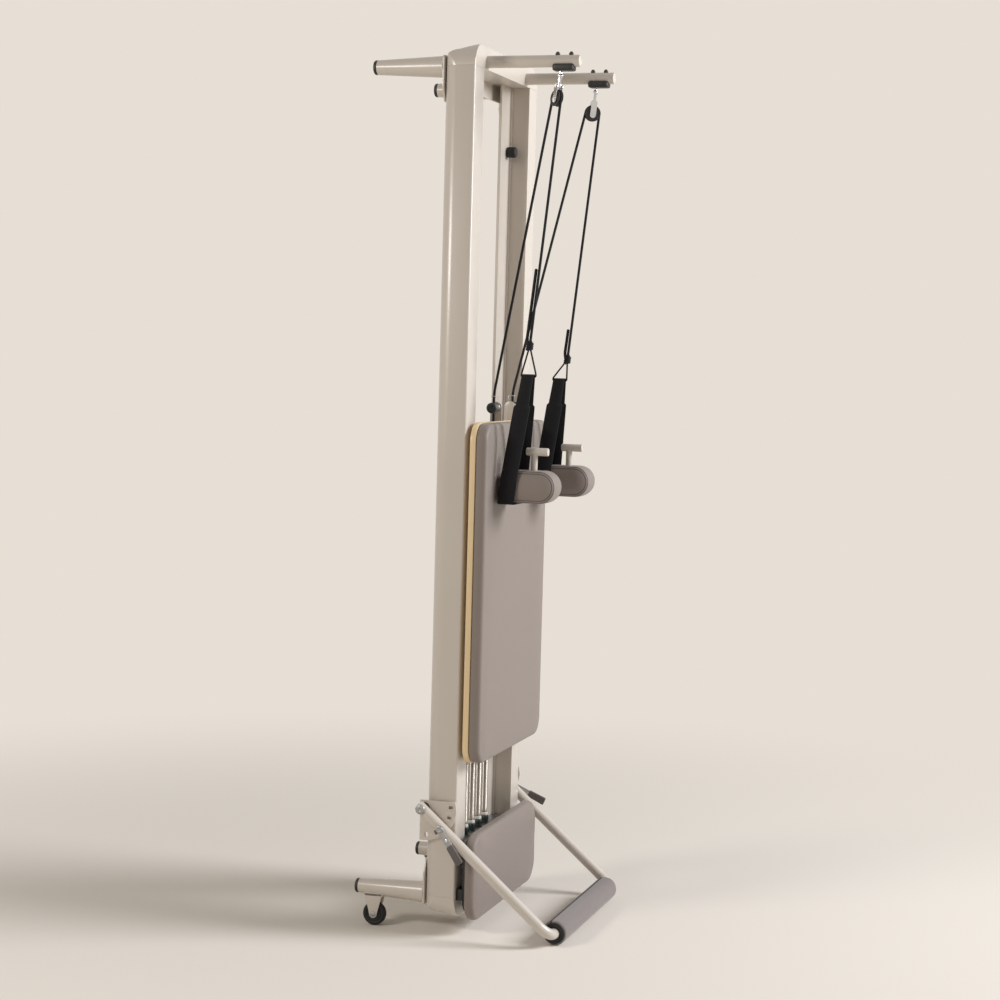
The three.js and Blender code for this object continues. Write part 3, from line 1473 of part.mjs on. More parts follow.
function addFootbar() {
  const pivot = [0, pivotDepth, pivotHeight];
  addPair('footbar_bracket', bracketGeometry(), creamPaint, [halfFrame + seatGap, pivotDepth, pivotHeight]);
  add('footbar', footbarGeometry(), creamPaint(), pivot);
  const reach = barDirection(barAngle).multiplyScalar(barLength);
  const grip = [0, pivotDepth + reach.x, pivotHeight + reach.y];
  add('footbar_foam', foamGeometry(), foamCloth(), grip);
  const outerFace = barAxisX + barTubeDiameter / 2;
  addPair('pivot_bolt', pivotBoltGeometry(), chrome, [outerFace, pivotDepth, pivotHeight]);
  addLatch('left', leftLatchTurn, -outerFace);
  addLatch('right', rightLatchTurn, outerFace);
}

// Places a latch and its grip on the bar, turned about its pin from the line of the bar.
function addLatch(side, turnDegrees, x) {
  const pin = barDirection(barAngle).multiplyScalar(slotRadius);
  const place = [x, pivotDepth + pin.x, pivotHeight + pin.y];
  const angle = Math.PI + barAngle + THREE.MathUtils.degToRad(turnDegrees);
  const parts = [['latch', latchGeometry(), steel()], ['latch_grip', latchGripGeometry(), gripGrey()]];
  for (const [name, geometry, material] of parts) {
    geometry.rotateX(angle);
    add(`${name}_${side}`, side === 'left' ? mirrored(geometry) : geometry, material, place);
  }
}

function addRopes() {
  const arms = new THREE.Vector3(armX, 0, armZ);
  addPair('rope_arm', armGeometry(), creamPaint, arms.toArray());
  addPair('pulley_saddle', saddleGeometry(), blackPlastic, arms.toArray());
  const sides = [
    ['left', -1, leftPulley, leftStrap, leftKnot],
    ['right', 1, rightPulley, rightStrap, rightKnot],
  ];
  for (const [side, sign, pulley, strap, knotPlace] of sides) {
    const { turn, lean } = inRadians(pulley);
    const place = [sign * armX, swivelY, swivelZ];
    const sheave = hang(sheaveGeometry().translate(0, 0, -sheaveHangHeight), turn, lean);
    add(`pulley_block_${side}`, pulleyBlockGeometry(turn, lean), chrome(), place);
    add(`pulley_sheave_${side}`, sheave, blackPlastic(), place);
    add(`rope_${side}`, ropeGeometry(sign, pulley, strap, knotPlace), webbing());
    add(`strap_${side}`, strapGeometry(strap), webbing(), [sign * restX, 0, restBottom]);
  }
}

function addCarriage() {
  add('carriage_deck', deckGeometry(), wood());
  add('carriage_pad', padGeometry(), upholstery());
  add('carriage_frame', carriageFrameGeometry(), steel());
  const [low, high] = rollerPlaces();
  addPair('roller_foot', rollerGeometry(), blackRubber, [rollerX(), rollerY, low]);
  addPair('roller_head', rollerGeometry(), blackRubber, [rollerX(), rollerY, high]);
  addPair('rest_post', geometryOf(postGeometry()), creamPaint, [restX, 0, restCenterHeight]);
  addPair('shoulder_rest', restGeometry(), upholstery, [restX, 0, restCenterHeight]);
  addPair('rope_cleat', cleatGeometry(), blackPlastic, [cleatSpacing / 2, 0, 0]);
}

function addStops() {
  const low = carriageHeight - seatGap - stopDiameter / 2;
  const high = frameLength - stopHeadSetback;
  addPair('stop_foot', stopGeometry(), blackRubber, [stopX, 0, low]);
  addPair('stop_head', stopGeometry(), blackRubber, [stopX, 0, high]);
}

function addSprings() {
  add('spring_bar', springBarGeometry(), steel());
  springPlaces().forEach((x, i) => add(`spring_${i + 1}`, springGeometry(), chrome(), [x, springDepth, 0]));
}

function addPlatform() {
  add('platform_board', platformBoardGeometry(), blackPlastic());
  add('platform_pad', platformPadGeometry(), upholstery());
}

addFrame();
addFootbar();
addRopes();
addCarriage();
addStops();
addSprings();
addPlatform();

const reformer = new THREE.Group();
reformer.add(machine);

export default reformer;
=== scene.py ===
# %% [markdown]
# # A pilates reformer, stored standing on its foot end
#
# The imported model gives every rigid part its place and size. This lesson builds the machine's
# surfaces over it: sprayed rails with moulded caps, bent tubes, turned wheels, close-wound springs,
# braided ropes with their knots, webbing straps and upholstered pads. Each cell makes one thing.

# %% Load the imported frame
import json
import math
import bmesh
import bpy
import numpy as np
from mathutils import Matrix, Vector


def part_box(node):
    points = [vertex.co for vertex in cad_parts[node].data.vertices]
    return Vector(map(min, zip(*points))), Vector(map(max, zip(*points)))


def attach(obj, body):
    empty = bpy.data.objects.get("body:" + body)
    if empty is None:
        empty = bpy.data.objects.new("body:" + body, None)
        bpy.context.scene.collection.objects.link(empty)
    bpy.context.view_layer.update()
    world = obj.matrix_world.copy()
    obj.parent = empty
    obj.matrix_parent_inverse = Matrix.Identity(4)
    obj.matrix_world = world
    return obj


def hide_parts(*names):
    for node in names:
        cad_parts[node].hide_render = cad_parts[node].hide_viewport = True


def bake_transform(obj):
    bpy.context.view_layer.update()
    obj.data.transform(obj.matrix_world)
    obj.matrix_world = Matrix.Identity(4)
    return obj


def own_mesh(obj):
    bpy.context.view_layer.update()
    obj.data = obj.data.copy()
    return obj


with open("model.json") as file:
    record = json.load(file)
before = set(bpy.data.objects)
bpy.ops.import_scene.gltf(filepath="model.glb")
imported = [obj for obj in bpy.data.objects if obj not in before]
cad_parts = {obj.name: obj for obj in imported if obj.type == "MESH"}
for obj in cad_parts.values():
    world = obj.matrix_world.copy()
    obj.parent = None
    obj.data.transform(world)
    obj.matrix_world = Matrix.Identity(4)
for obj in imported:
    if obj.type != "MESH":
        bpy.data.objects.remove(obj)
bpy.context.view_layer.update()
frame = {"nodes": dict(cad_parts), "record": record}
cad_nodes = frame["nodes"]
SIDES = (("left", -1), ("right", 1))

# %% [markdown]
# ## Where things are
#
# The model stands with the floor at z = 0. Its makers measured from the front face of the two
# rails and from the frame's lower end, so two offsets turn those workshop places into scene
# places. They are read from the rails' own box, so they can't drift from the model.

# %% Workshop places
rail_low, rail_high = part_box("rail_right")
END_CAP = 0.0643
FRONT = rail_low.y
FOOT = rail_low.z - END_CAP


def at(x, y, z):
    """A place given from the rails' front face and the frame's lower end."""
    return Vector((x, FRONT + y, FOOT + z))


print("rail front at y =", round(FRONT, 4), "and frame end at z =", round(FOOT, 4))

# %% [markdown]
# ## The camera
#
# The photograph was taken with a long lens from the machine's left front, a little above its
# middle, so upright lines stay nearly parallel. The camera's place, its slight tilt and its focal
# length were solved from about sixty corners, found both in the picture and on the machine.

# %% Place the camera
AZIMUTH, PITCH, ROLL = (math.radians(v) for v in (-73.0603, 3.6956, 1.5266))
FOCAL_SHARE, CAMERA_DISTANCE = 2.240566, 6.3623
AIM_U, AIM_V, AIM = 0.4971283, 0.4813398, at(0, 0, 1.197)

back = Vector((math.sin(AZIMUTH) * math.cos(PITCH), -math.cos(AZIMUTH) * math.cos(PITCH), math.sin(PITCH)))
level = (-back).cross(Vector((0, 0, 1))).normalized()
upright = level.cross(-back)
right = level * math.cos(ROLL) + upright * math.sin(ROLL)
up = upright * math.cos(ROLL) - level * math.sin(ROLL)
shift = (right * (0.5 - AIM_U) + up * (AIM_V - 0.5)) / FOCAL_SHARE
eye = AIM + (back + shift) * CAMERA_DISTANCE

camera_data = bpy.data.cameras.new("camera")
camera_data.sensor_width = 36
camera_data.lens = 36 * FOCAL_SHARE
camera = bpy.data.objects.new("camera", camera_data)
camera.matrix_world = Matrix.Translation(eye) @ Matrix((right, up, back)).transposed().to_4x4()
bpy.context.scene.collection.objects.link(camera)
bpy.context.scene.camera = camera
print("camera at", [round(v, 3) for v in eye], "lens", round(camera_data.lens, 1), "mm")

# %% [markdown]
# ## Shader maths that reads like algebra
#
# Every finish here is a small network of nodes. Wiring each sum by hand hides the idea, so one
# class wraps a socket: adding or multiplying two wrapped sockets lays the Math node for you. One
# method, `node`, adds any other node from its type, its settings and what goes into its sockets.

# %% A finish and its wires
class Wire:
    """One output of a node, which can be used in sums."""

    def __init__(self, nodes, socket):
        self.nodes = nodes
        self.socket = socket

    def math(self, operation, *terms):
        return self.nodes.node("ShaderNodeMath", {"operation": operation}, dict(enumerate(terms)))

    def __add__(self, other):
        return self.math("ADD", self, other)

    def __mul__(self, other):
        return self.math("MULTIPLY", self, other)

    def __sub__(self, other):
        return self.math("SUBTRACT", self, other)

    def __rsub__(self, other):
        return self.math("SUBTRACT", other, self)

    __radd__ = __add__
    __rmul__ = __mul__

    def sine(self):
        return self.math("SINE", self)

    def above(self, level, softness):
        """0 below the level and 1 above it, with a soft step between."""
        sockets = {"Value": self, "From Min": level - softness, "From Max": level + softness}
        return self.nodes.node("ShaderNodeMapRange", {"interpolation_type": "SMOOTHSTEP"}, sockets)


class Nodes:
    """A tree of shader nodes, of a material or of the world."""

    def __init__(self, tree):
        self.tree = tree

    def feed(self, socket, value):
        if isinstance(value, Wire):
            self.tree.links.new(value.socket, socket)
        else:
            socket.default_value = value

    def node(self, kind, settings=None, sockets=None, out=0):
        made = self.tree.nodes.new(kind)
        for name, value in (settings or {}).items():
            setattr(made, name, value)
        for name, value in (sockets or {}).items():
            self.feed(made.inputs[name], value)
        return Wire(self, made.outputs[out])

    def seen_straight(self):
        """1 for what the camera or a mirror sees, and 0 for what only lights the machine."""
        return self.node("ShaderNodeLightPath", out="Is Camera Ray") + self.node(
            "ShaderNodeLightPath", out="Is Glossy Ray")


class Finish(Nodes):
    """A material with one shader, and the nodes that vary it."""

    def __init__(self, name, color, roughness, metallic=0.0, **uniform):
        self.material = bpy.data.materials.new(name)
        self.material.use_nodes = True
        super().__init__(self.material.node_tree)
        self.shader = self.tree.nodes["Principled BSDF"]
        self.color = rgb(color)
        self.set("Base Color", self.color)
        self.set("Roughness", roughness)
        self.set("Metallic", metallic)
        for name, value in uniform.items():
            self.set(name.replace("_", " ").title().replace("Ior", "IOR"), value)

    def set(self, name, value):
        self.feed(self.shader.inputs[name], value)

    def place(self, stretch=(1, 1, 1), kind="Object"):
        """Coordinates in metres on the piece, stretched along an axis if asked."""
        coordinates = self.node("ShaderNodeTexCoord", out=kind)
        return self.node("ShaderNodeVectorMath", {"operation": "MULTIPLY"}, {0: coordinates, 1: stretch})

    def split(self, vector):
        outputs = self.node("ShaderNodeSeparateXYZ", sockets={0: vector}).socket.node.outputs
        return [Wire(self, output) for output in outputs]

    def noise(self, scale, detail=2.0, stretch=(1, 1, 1)):
        sockets = {"Vector": self.place(stretch), "Scale": scale, "Detail": detail}
        return self.node("ShaderNodeTexNoise", sockets=sockets)

    def cells(self, scale, stretch=(1, 1, 1)):
        sockets = {"Vector": self.place(stretch), "Scale": scale}
        return self.node("ShaderNodeTexVoronoi", {"feature": "DISTANCE_TO_EDGE"}, sockets)

    def tint(self, factor, darker, lighter):
        """Vary the base colour between two shades of itself."""
        low, high = ([min(c * shade, 1) for c in self.color[:3]] + [1] for shade in (darker, lighter))
        sockets = {0: factor, 6: low, 7: high}
        self.set("Base Color", self.node("ShaderNodeMix", {"data_type": "RGBA"}, sockets, out=2))

    def bump(self, height, strength, distance):
        sockets = {"Height": height, "Strength": strength, "Distance": distance}
        self.set("Normal", self.node("ShaderNodeBump", sockets=sockets))


def rgb(values):
    """A screen colour from 0 to 255 as the linear colour that a shader wants."""
    shares = [v / 255 for v in values]
    linear = [v / 12.92 if v <= 0.04045 else ((v + 0.055) / 1.055) ** 2.4 for v in shares]
    return (*linear, 1.0)


print("finishes can now be written as sums")

# %% [markdown]
# ## Sprayed, moulded and plated parts
#
# Most small parts share one recipe. A fine noise is the grain: it roughens the surface and lets
# its gloss drift. A slow noise, where there is one, shades the colour like dust or a spray gun's
# passes. The rails' powder coat melts into satin with an "orange peel" of about a millimetre. Black
# parts come from a spark-eroded tool, which leaves sand. Rubber has a softer grain and a duller
# shine. Chrome shows only a haze, and brushed steel is the same metal scratched along one
# direction, so its noise is stretched. The arms' plugs, the milky sleeves on the springs, the bright
# drawn wire and the painted seam shade, a dark cord colour standing for the shade in the seams, are
# the same recipe again, with other numbers.

# %% Grained finishes
def grained(name, color, grain, shades, gloss=None, relief=None, slow=None, **uniform):
    """grain: scale, detail; shades: darker, lighter; gloss: roughness, its drift; relief: strength, depth."""
    finish = Finish(name, color, **{"roughness": 0.85, **uniform})
    fine = finish.noise(*grain)
    finish.tint(finish.noise(*slow) if slow else fine, *shades)
    if gloss:
        finish.set("Roughness", gloss[0] + fine * gloss[1])
    if relief:
        finish.bump(fine, *relief)
    return finish.material


def cream_coat():
    coat = Finish("cream_coat", (204, 195, 184), 0.32, coat_weight=0.35, coat_roughness=0.22)
    drift = coat.noise(3.0, 3.0)
    coat.tint(drift, 0.96, 1.04)
    coat.set("Roughness", 0.25 + drift * 0.13)
    coat.bump(coat.noise(700.0, 1.0), 0.10, 0.0004)
    return coat.material


def moulding(name, color, roughness, scale, depth):
    gloss = (roughness - 0.08, 0.16)
    return grained(name, color, (scale, 3.0), (0.85, 1.25), gloss, (0.35, depth), slow=(9.0, 4.0))


CREAM = cream_coat()
BLACK = moulding("dark_moulding", (27, 26, 25), 0.48, 900.0, 0.0003)
RUBBER = moulding("dark_rubber", (21, 21, 22), 0.72, 500.0, 0.0005)
GRIP = moulding("grey_grip", (92, 86, 84), 0.6, 700.0, 0.0004)
GREEN = moulding("dark_green_moulding", (26, 40, 37), 0.4, 900.0, 0.0003)
CHROME = grained("polished_chrome", (214, 215, 217), (60.0, 4.0), (0.92, 1.03), (0.07, 0.12), metallic=1.0)
STEEL = grained("brushed_steel", (168, 168, 168), (60.0, 3.0, (1, 20, 20)), (0.85, 1.08), (0.25, 0.22),
                (0.12, 0.0002), metallic=1.0)
SPRING_STEEL = grained("spring_wire", (182, 176, 168), (700.0, 3.0), (0.80, 1.10), (0.28, 0.18),
                       (0.1, 0.0001), metallic=1.0)
PLUG = grained("pale_moulding", (206, 200, 191), (1500.0, 2.0), (0.95, 1.03), (0.33, 0.10),
               (0.08, 0.0002), slow=(26.0, 4.0))
MILKY = grained("milky_plastic", (214, 210, 202), (90.0, 4.0), (0.90, 1.06), (0.28, 0.14), (0.06, 0.0003),
                subsurface_weight=0.3, subsurface_scale=0.004)
# Painted seam shade: a darker copy of the covers' colour, for the cords laid in the seams.
SEAM_SHADE = grained("painted_seam_shade", (50, 44, 41), (900.0, 3.0), (0.7, 1.3), relief=(0.4, 0.0003),
                 sheen_weight=0.1, sheen_roughness=0.5)
print("made", CREAM.name, "and ten grained finishes")

# %% [markdown]
# ## Plywood
#
# The carriage's deck is birch plywood under clear lacquer. Its broad face shows long straight grain
# and its edge shows the plies, so the finish reads the depth through the board for the stripes and
# the length along it for the grain.

# %% Birch plywood
PLY = 0.0019


def plywood():
    board = Finish("birch_plywood", (238, 211, 166), 0.42, coat_weight=0.25, coat_roughness=0.25)
    grain = board.noise(38.0, 5.0, (1, 1, 0.06))
    pores = board.noise(420.0, 2.0, (1, 1, 0.05))
    _, depth, _ = board.split(board.place())
    plies = (depth * (math.pi / PLY)).sine().above(0.35, 0.3)
    board.tint(grain * 0.7 + plies * 0.3, 0.80, 1.10)
    board.set("Roughness", 0.36 + grain * 0.14)
    board.bump(pores + plies * 0.4, 0.12, 0.0003)
    return board.material


PLYWOOD = plywood()
print("made", PLYWOOD.name)

# %% [markdown]
# ## Upholstery
#
# The pads are covered with coated cloth that is embossed to look like fine leather: small flat
# islands between shallow creases. Voronoi cells give the islands. The creases are a touch darker and
# duller than the islands, and a slow noise keeps a big pad from looking printed.

# %% Taupe upholstery
def leathercloth():
    skin = Finish("taupe_leathercloth", (134, 123, 116), 0.5, sheen_weight=0.08, sheen_roughness=0.5)
    island = skin.cells(620.0).above(0.09, 0.08)
    warp = skin.noise(230.0, 2.0)
    drift = skin.noise(5.0, 3.0)
    skin.tint(drift * 0.6 + island * 0.4, 0.90, 1.06)
    skin.set("Roughness", 0.56 - island * 0.10 + drift * 0.06)
    skin.bump(island * 0.7 + warp * 0.5, 0.28, 0.0004)
    return skin.material


TAUPE = leathercloth()
print("made", TAUPE.name)

# %% [markdown]
# ## Woven and knitted cloth
#
# The straps are black nylon webbing, the ropes are a braided sheath over a core, and the footbar's
# sleeve wears a thin knitted cover. Webbing and braid carry their own flat map, in metres along the
# piece, so the weave follows round every bend.

# %% Webbing, braid and knit
TURN = 2 * math.pi


def woven(name, color, roughness, weave, shades, relief):
    """A dull dark cloth whose weave is a pattern of the places across and along it."""
    cloth = Finish(name, color, roughness, specular_ior_level=0.3, sheen_weight=0.05, sheen_roughness=0.4)
    across, along, _ = cloth.split(cloth.place(kind="UV"))
    pattern = weave(across, along)
    cloth.tint(pattern, *shades)
    cloth.bump(pattern, *relief)
    return cloth.material


def twill(across, along):
    ribs = (along * (TURN / 0.0022)).sine()
    return ribs * 0.25 + (across * (TURN / 0.0030) + along * (TURN / 0.0044)).sine() * 0.25 + 0.5


def plait(around, along):
    turn, pitch = around * (TURN * 8), along * (TURN / 0.0040)
    left, right_hand = (turn + pitch).sine(), (turn - pitch).sine()
    return left.above(0.0, 0.5) * 0.5 + right_hand.above(0.0, 0.5) * 0.5


def knit():
    cover = Finish("taupe_knit", (127, 118, 115), 0.85, sheen_weight=0.3, sheen_roughness=0.5)
    loops = cover.cells(900.0, (1, 1.6, 1.6))
    fluff = cover.noise(60.0, 4.0)
    cover.tint(loops.above(0.12, 0.1) * 0.6 + fluff * 0.4, 0.82, 1.10)
    cover.bump(loops, 0.4, 0.0005)
    return cover.material


WEBBING = woven("black_webbing", (14, 14, 17), 0.85, twill, (0.65, 1.45), (0.5, 0.0008))
BRAID = woven("black_braid", (16, 16, 19), 0.75, plait, (0.55, 1.7), (0.6, 0.0005))
KNIT = knit()
print("made", WEBBING.name, BRAID.name, KNIT.name)

# %% [markdown]
# ## Tools of the bench
#
# Nearly everything on this machine is turned, bent, cut from plate or sewn, so four tools make most
# of it. A piece is named after the node that it dresses, so its name also says which body it moves
# with. The first piece of a node stands for it, and the others are details beside it.

# %% Meshes, nodes and drawn lines
OTHER_NAMES = {"foam": "footbar_foam", "head_cap": "head_end_cap", "foot_cap": "foot_end_cap",
               "carriage_board": "carriage_deck", "carriage_cushion": "carriage_pad",
               "platform_cushion": "platform_pad"}
node_names = {**{node: node for node in cad_nodes}, **OTHER_NAMES}
dressed = set()


def node_of(piece):
    return node_names[max((start for start in node_names if piece.name.startswith(start)), key=len)]


def stand_for_node(piece):
    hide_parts(node_of(piece))
    dressed.add(node_of(piece))


def fit(piece):
    """Move a piece with its node's body. The node's first piece also stands for it."""
    node = node_of(piece)
    bodies = frame["record"]["behaviour"]["bodies"]
    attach(piece, next(body for body, members in bodies.items() if node in members))
    if node not in dressed:
        stand_for_node(piece)
    return piece


def link(name, mesh, finish):
    piece = bpy.data.objects.new(name, mesh)
    bpy.context.scene.collection.objects.link(piece)
    piece.data.materials.clear()
    piece.data.materials.append(finish)
    return piece


def smooth(mesh, degrees=35):
    """Shade gentle folds as one curve and keep sharper ones crisp."""
    mesh.polygons.foreach_set("use_smooth", [True] * len(mesh.polygons))
    mesh.set_sharp_from_angle(angle=math.radians(degrees))


def mesh_piece(name, points, faces, finish, flat_map=None, degrees=35):
    """A closed piece, its faces turned outward. flat_map gives each corner's place."""
    mesh = bpy.data.meshes.new(name)
    mesh.from_pydata([tuple(p) for p in points], [], faces)
    if flat_map:
        layer = mesh.uv_layers.new(name="flat")
        layer.data.foreach_set("uv", [v for face in flat_map for corner in face for v in corner])
    form = bmesh.new()
    form.from_mesh(mesh)
    bmesh.ops.recalc_face_normals(form, faces=form.faces)
    form.to_mesh(mesh)
    form.free()
    smooth(mesh, degrees)
    return link(name, mesh, finish)


def eased(corners, reach, steps=6, closed=False):
    """Round each corner of a line by a true arc that starts `reach` before the corner."""
    points = [Vector(c) for c in corners]
    made = []
    for i, corner in enumerate(points):
        before, after = points[i - 1] - corner, points[(i + 1) % len(points)] - corner
        share = min(reach, before.length * 0.49, after.length * 0.49)
        inside = closed or 0 < i < len(points) - 1
        if not inside or share < 1e-6 or before.angle(after) > math.radians(178):
            made.append(corner)
            continue
        first, last = corner + before.normalized() * share, corner + after.normalized() * share
        pull = math.sin(before.angle(after) / 2)
        for k in range(steps + 1):
            t = k / steps
            weights = ((1 - t) ** 2, 2 * pull * t * (1 - t), t * t)
            spot = first * weights[0] + corner * weights[1] + last * weights[2]
            made.append(spot / sum(weights))
    return made


def about(middle, first, second, radius, turn):
    """A point on a circle in the plane of two directions."""
    return middle + (first * math.cos(turn) + second * math.sin(turn)) * radius


def arc(centre, radius, start, stop, steps=16):
    """Points of an arc in a drawing, from one angle to another in degrees."""
    angles = [math.radians(start + (stop - start) * k / steps) for k in range(steps + 1)]
    return [(centre[0] + radius * math.cos(a), centre[1] + radius * math.sin(a)) for a in angles]


def lobed(size_at, steps=96):
    """A drawn outline whose reach from its middle depends on the angle."""
    turns = [TURN * k / steps for k in range(steps)]
    return [(size_at(t) * math.cos(t), size_at(t) * math.sin(t)) for t in turns]


def rounded_box(width, height, radius, steps=8):
    """A drawn rectangle with round corners about its middle."""
    u, v = width / 2, height / 2
    return [tuple(p) for p in eased([(-u, -v), (u, -v), (u, v), (-u, v)], radius, steps, closed=True)]


print("the bench is ready for", len(cad_nodes), "nodes")

# %% [markdown]
# ## Turning, bending and cutting
#
# `skinned` stretches faces over rings of points, and is what the other tools stand on. `turned`
# spins a profile about an axis, as a lathe does: wheels, tubes, bolts and knobs. `bent` carries a
# circle along a line without twisting it, and lays a flat map over it in metres, so a braid can
# follow the rope. `cut_plate` fills a drawn outline with its holes and rounds its edges: a curve
# object does all three at once, and is then turned into a mesh.

# %% Turned, bent and cut pieces
def skinned(name, rings, finish, joined=False, capped=False, across=(), along=(), degrees=35):
    """A form over rings of points. A ring of one point closes it, and a flat map runs across and along."""
    numbers, points, faces = [], [], []
    for ring in rings:
        numbers.append(range(len(points), len(points) + len(ring)))
        points += ring
    if joined:
        numbers.append(numbers[0])
    for low, high in zip(numbers, numbers[1:]):
        count = max(len(low), len(high))
        for k, after in zip(range(count), [*range(1, count), 0]):
            if len(low) == 1:
                faces.append((low[0], high[after], high[k]))
            elif len(high) == 1:
                faces.append((low[k], low[after], high[0]))
            else:
                faces.append((low[k], low[after], high[after], high[k]))
    flat_map = [((left, low), (right, low), (right, high), (left, high))
                for low, high in zip(along, along[1:]) for left, right in zip(across, across[1:])]
    if capped:
        faces += [tuple(numbers[0]), tuple(numbers[-1])]
        flat_map += [[(0.5, 0.0)] * len(rings[0])] * (2 if flat_map else 0)
    return mesh_piece(name, points, faces, finish, flat_map, degrees)


def both_sides(half, middle=()):
    """A profile that is alike on both sides. One that starts off the axis closes round its bore."""
    line = [*half, *middle, *((radius, -place) for radius, place in reversed(half))]
    return line if half[0][0] == 0.0 else [*line, half[0]]


def washer(inner, outer, thickness):
    return [(inner, 0.0), (outer, 0.0), (outer, thickness), (inner, thickness), (inner, 0.0)]


def turned(name, centre, axis, profile, finish, sides=48, ease=0.0, degrees=35):
    """Spin (radius, place) pairs about an axis. A profile that ends where it starts has a bore."""
    closed = profile[0] == profile[-1]
    line = profile[:-1] if closed else profile
    if ease:
        line = eased(line, ease, 3, closed)
    axis = Vector(axis).normalized()
    first = axis.orthogonal().normalized()
    second = axis.cross(first)
    rings = []
    for radius, place in line:
        count = sides if radius > 1e-6 else 1
        middle = Vector(centre) + axis * place
        rings.append([about(middle, first, second, radius, TURN * k / sides) for k in range(count)])
    return fit(skinned(name, rings, finish, joined=closed, degrees=degrees))


def bent(name, path, radius, finish, sides=16, dome=0.5):
    """A round rod along a line of points, with domed ends and a flat map in metres."""
    path = [Vector(p) for p in path]
    last = len(path) - 1
    tangents = [(path[min(i + 1, last)] - path[max(i - 1, 0)]).normalized() for i in range(last + 1)]
    travelled = [0.0, *np.cumsum([(after - before).length for before, after in zip(path, path[1:])])]
    domes = ((0, -1.0, 0.5), (0, -0.5, 0.87)), ((last, 0.5, 0.87), (last, 1.0, 0.5))
    across, rings, places = tangents[0].orthogonal().normalized(), [], []
    for i, beyond, size in (*domes[0], *((i, 0.0, 1.0) for i in range(last + 1)), *domes[1]):
        tangent, further = tangents[i], beyond * radius * dome
        across = (across - tangent * across.dot(tangent)).normalized()
        middle, upward = path[i] + tangent * further, tangent.cross(across)
        rings.append([about(middle, across, upward, radius * size, TURN * k / sides) for k in range(sides)])
        places.append(float(travelled[i]) + further)
    shares = [k / sides for k in range(sides + 1)]
    return skinned(name, rings, finish, capped=True, across=shares, along=places)


def basis(first, second, origin):
    """Where a drawing lies: its two directions in the scene and its origin."""
    first, second = Vector(first), Vector(second)
    return Matrix.Translation(origin) @ Matrix((first, second, first.cross(second))).transposed().to_4x4()


SIDE_VIEW = ((0, 1, 0), (0, 0, 1))
FRONT_VIEW = ((1, 0, 0), (0, 0, 1))
TOP_VIEW = ((1, 0, 0), (0, 1, 0))


def cut_plate(name, outline, thickness, place, finish, holes=(), edge=0.0006, degrees=35):
    """A plate with rounded edges whose middle lies at `place`."""
    drawing = bpy.data.curves.new(name, "CURVE")
    drawing.dimensions = "2D"
    drawing.fill_mode = "BOTH"
    drawing.extrude = thickness / 2 - edge
    drawing.bevel_depth = edge
    drawing.bevel_resolution = 1
    drawing.offset = -edge
    for ring in (outline, *holes):
        line = drawing.splines.new("POLY")
        line.points.add(len(ring) - 1)
        line.use_cyclic_u = True
        for point, (u, v) in zip(line.points, ring):
            point.co = (u, v, 0, 1)
    sketch = bpy.data.objects.new(name, drawing)
    bpy.context.scene.collection.objects.link(sketch)
    mesh = evaluated(sketch)
    bpy.data.objects.remove(sketch)
    form = bmesh.new()
    form.from_mesh(mesh)
    bmesh.ops.remove_doubles(form, verts=form.verts, dist=0.000005)
    form.transform(place)
    bmesh.ops.recalc_face_normals(form, faces=form.faces)
    form.to_mesh(mesh)
    form.free()
    smooth(mesh, degrees)
    return fit(link(name, mesh, finish))


def evaluated(piece):
    """The mesh that an object and its modifiers give now."""
    graph = bpy.context.evaluated_depsgraph_get()
    return bpy.data.meshes.new_from_object(piece.evaluated_get(graph))


def bar_between(name, low, high, finish, edge=0.0006):
    """A rectangular block between two corners, with rounded edges."""
    size, middle = high - low, (low + high) / 2
    outline, place = rounded_box(size.x, size.y, edge), basis(*TOP_VIEW, middle)
    return cut_plate(name, outline, size.z, place, finish, edge=edge)


print("lathe, bender and cutter are ready")

# %% [markdown]
# ## The two rails
#
# Each rail is one extruded section: a box with a large round outer back edge, and a ledge inside
# that the carriage rolls on. The section is drawn with fine arcs and pulled the rail's whole length.
# The large round is what catches the long highlight.

# %% Pull the rails
FRAME_HALF, FRAME_LENGTH = 0.300, 2.394
RAIL_WIDTH, RAIL_DEPTH, RAIL_ROUND, RAIL_EDGE = 0.080, 0.091, 0.038, 0.006
LEDGE_DEPTH, LEDGE_WIDTH, LEDGE_THICKNESS, RIB = 0.055, 0.090, 0.006, 0.005
RAIL_INNER = FRAME_HALF - RAIL_WIDTH


def rail_section(sign):
    front = arc((FRAME_HALF - RAIL_EDGE, RAIL_EDGE), RAIL_EDGE, -90, 0, 8)
    back = arc((FRAME_HALF - RAIL_ROUND, RAIL_DEPTH - RAIL_ROUND), RAIL_ROUND, 0, 90, 28)
    ledge_end, ledge_back = RAIL_INNER - LEDGE_WIDTH, LEDGE_DEPTH + LEDGE_THICKNESS
    rib = RAIL_INNER - RAIL_EDGE
    line = [(RAIL_INNER, 0.0), *front, *back, (RAIL_INNER, RAIL_DEPTH), (RAIL_INNER, ledge_back),
            (ledge_end, ledge_back), (ledge_end, LEDGE_DEPTH), (rib, LEDGE_DEPTH), (rib, LEDGE_DEPTH - RIB),
            (RAIL_INNER, LEDGE_DEPTH - RIB)]
    return [(sign * x, y) for x, y in line]


rail_length = rail_high.z - rail_low.z
rail_place = basis(*TOP_VIEW, at(0, 0, FRAME_LENGTH / 2))
for side, sign in SIDES:
    cut_plate(f"rail_{side}_extrusion", rail_section(sign), rail_length, rail_place, CREAM, degrees=30)
print("each rail is", round(rail_length, 3), "m long")

# %% [markdown]
# ## The end caps
#
# A moulded cap joins the rails at each end. Seen from the front its corners are quarter circles,
# and seen from the side it falls towards a round back. Both rules give a height for each place in
# the cap's plan, and the lower one wins. A soft minimum blends them, which rounds the edge where
# they meet, as the mould does.

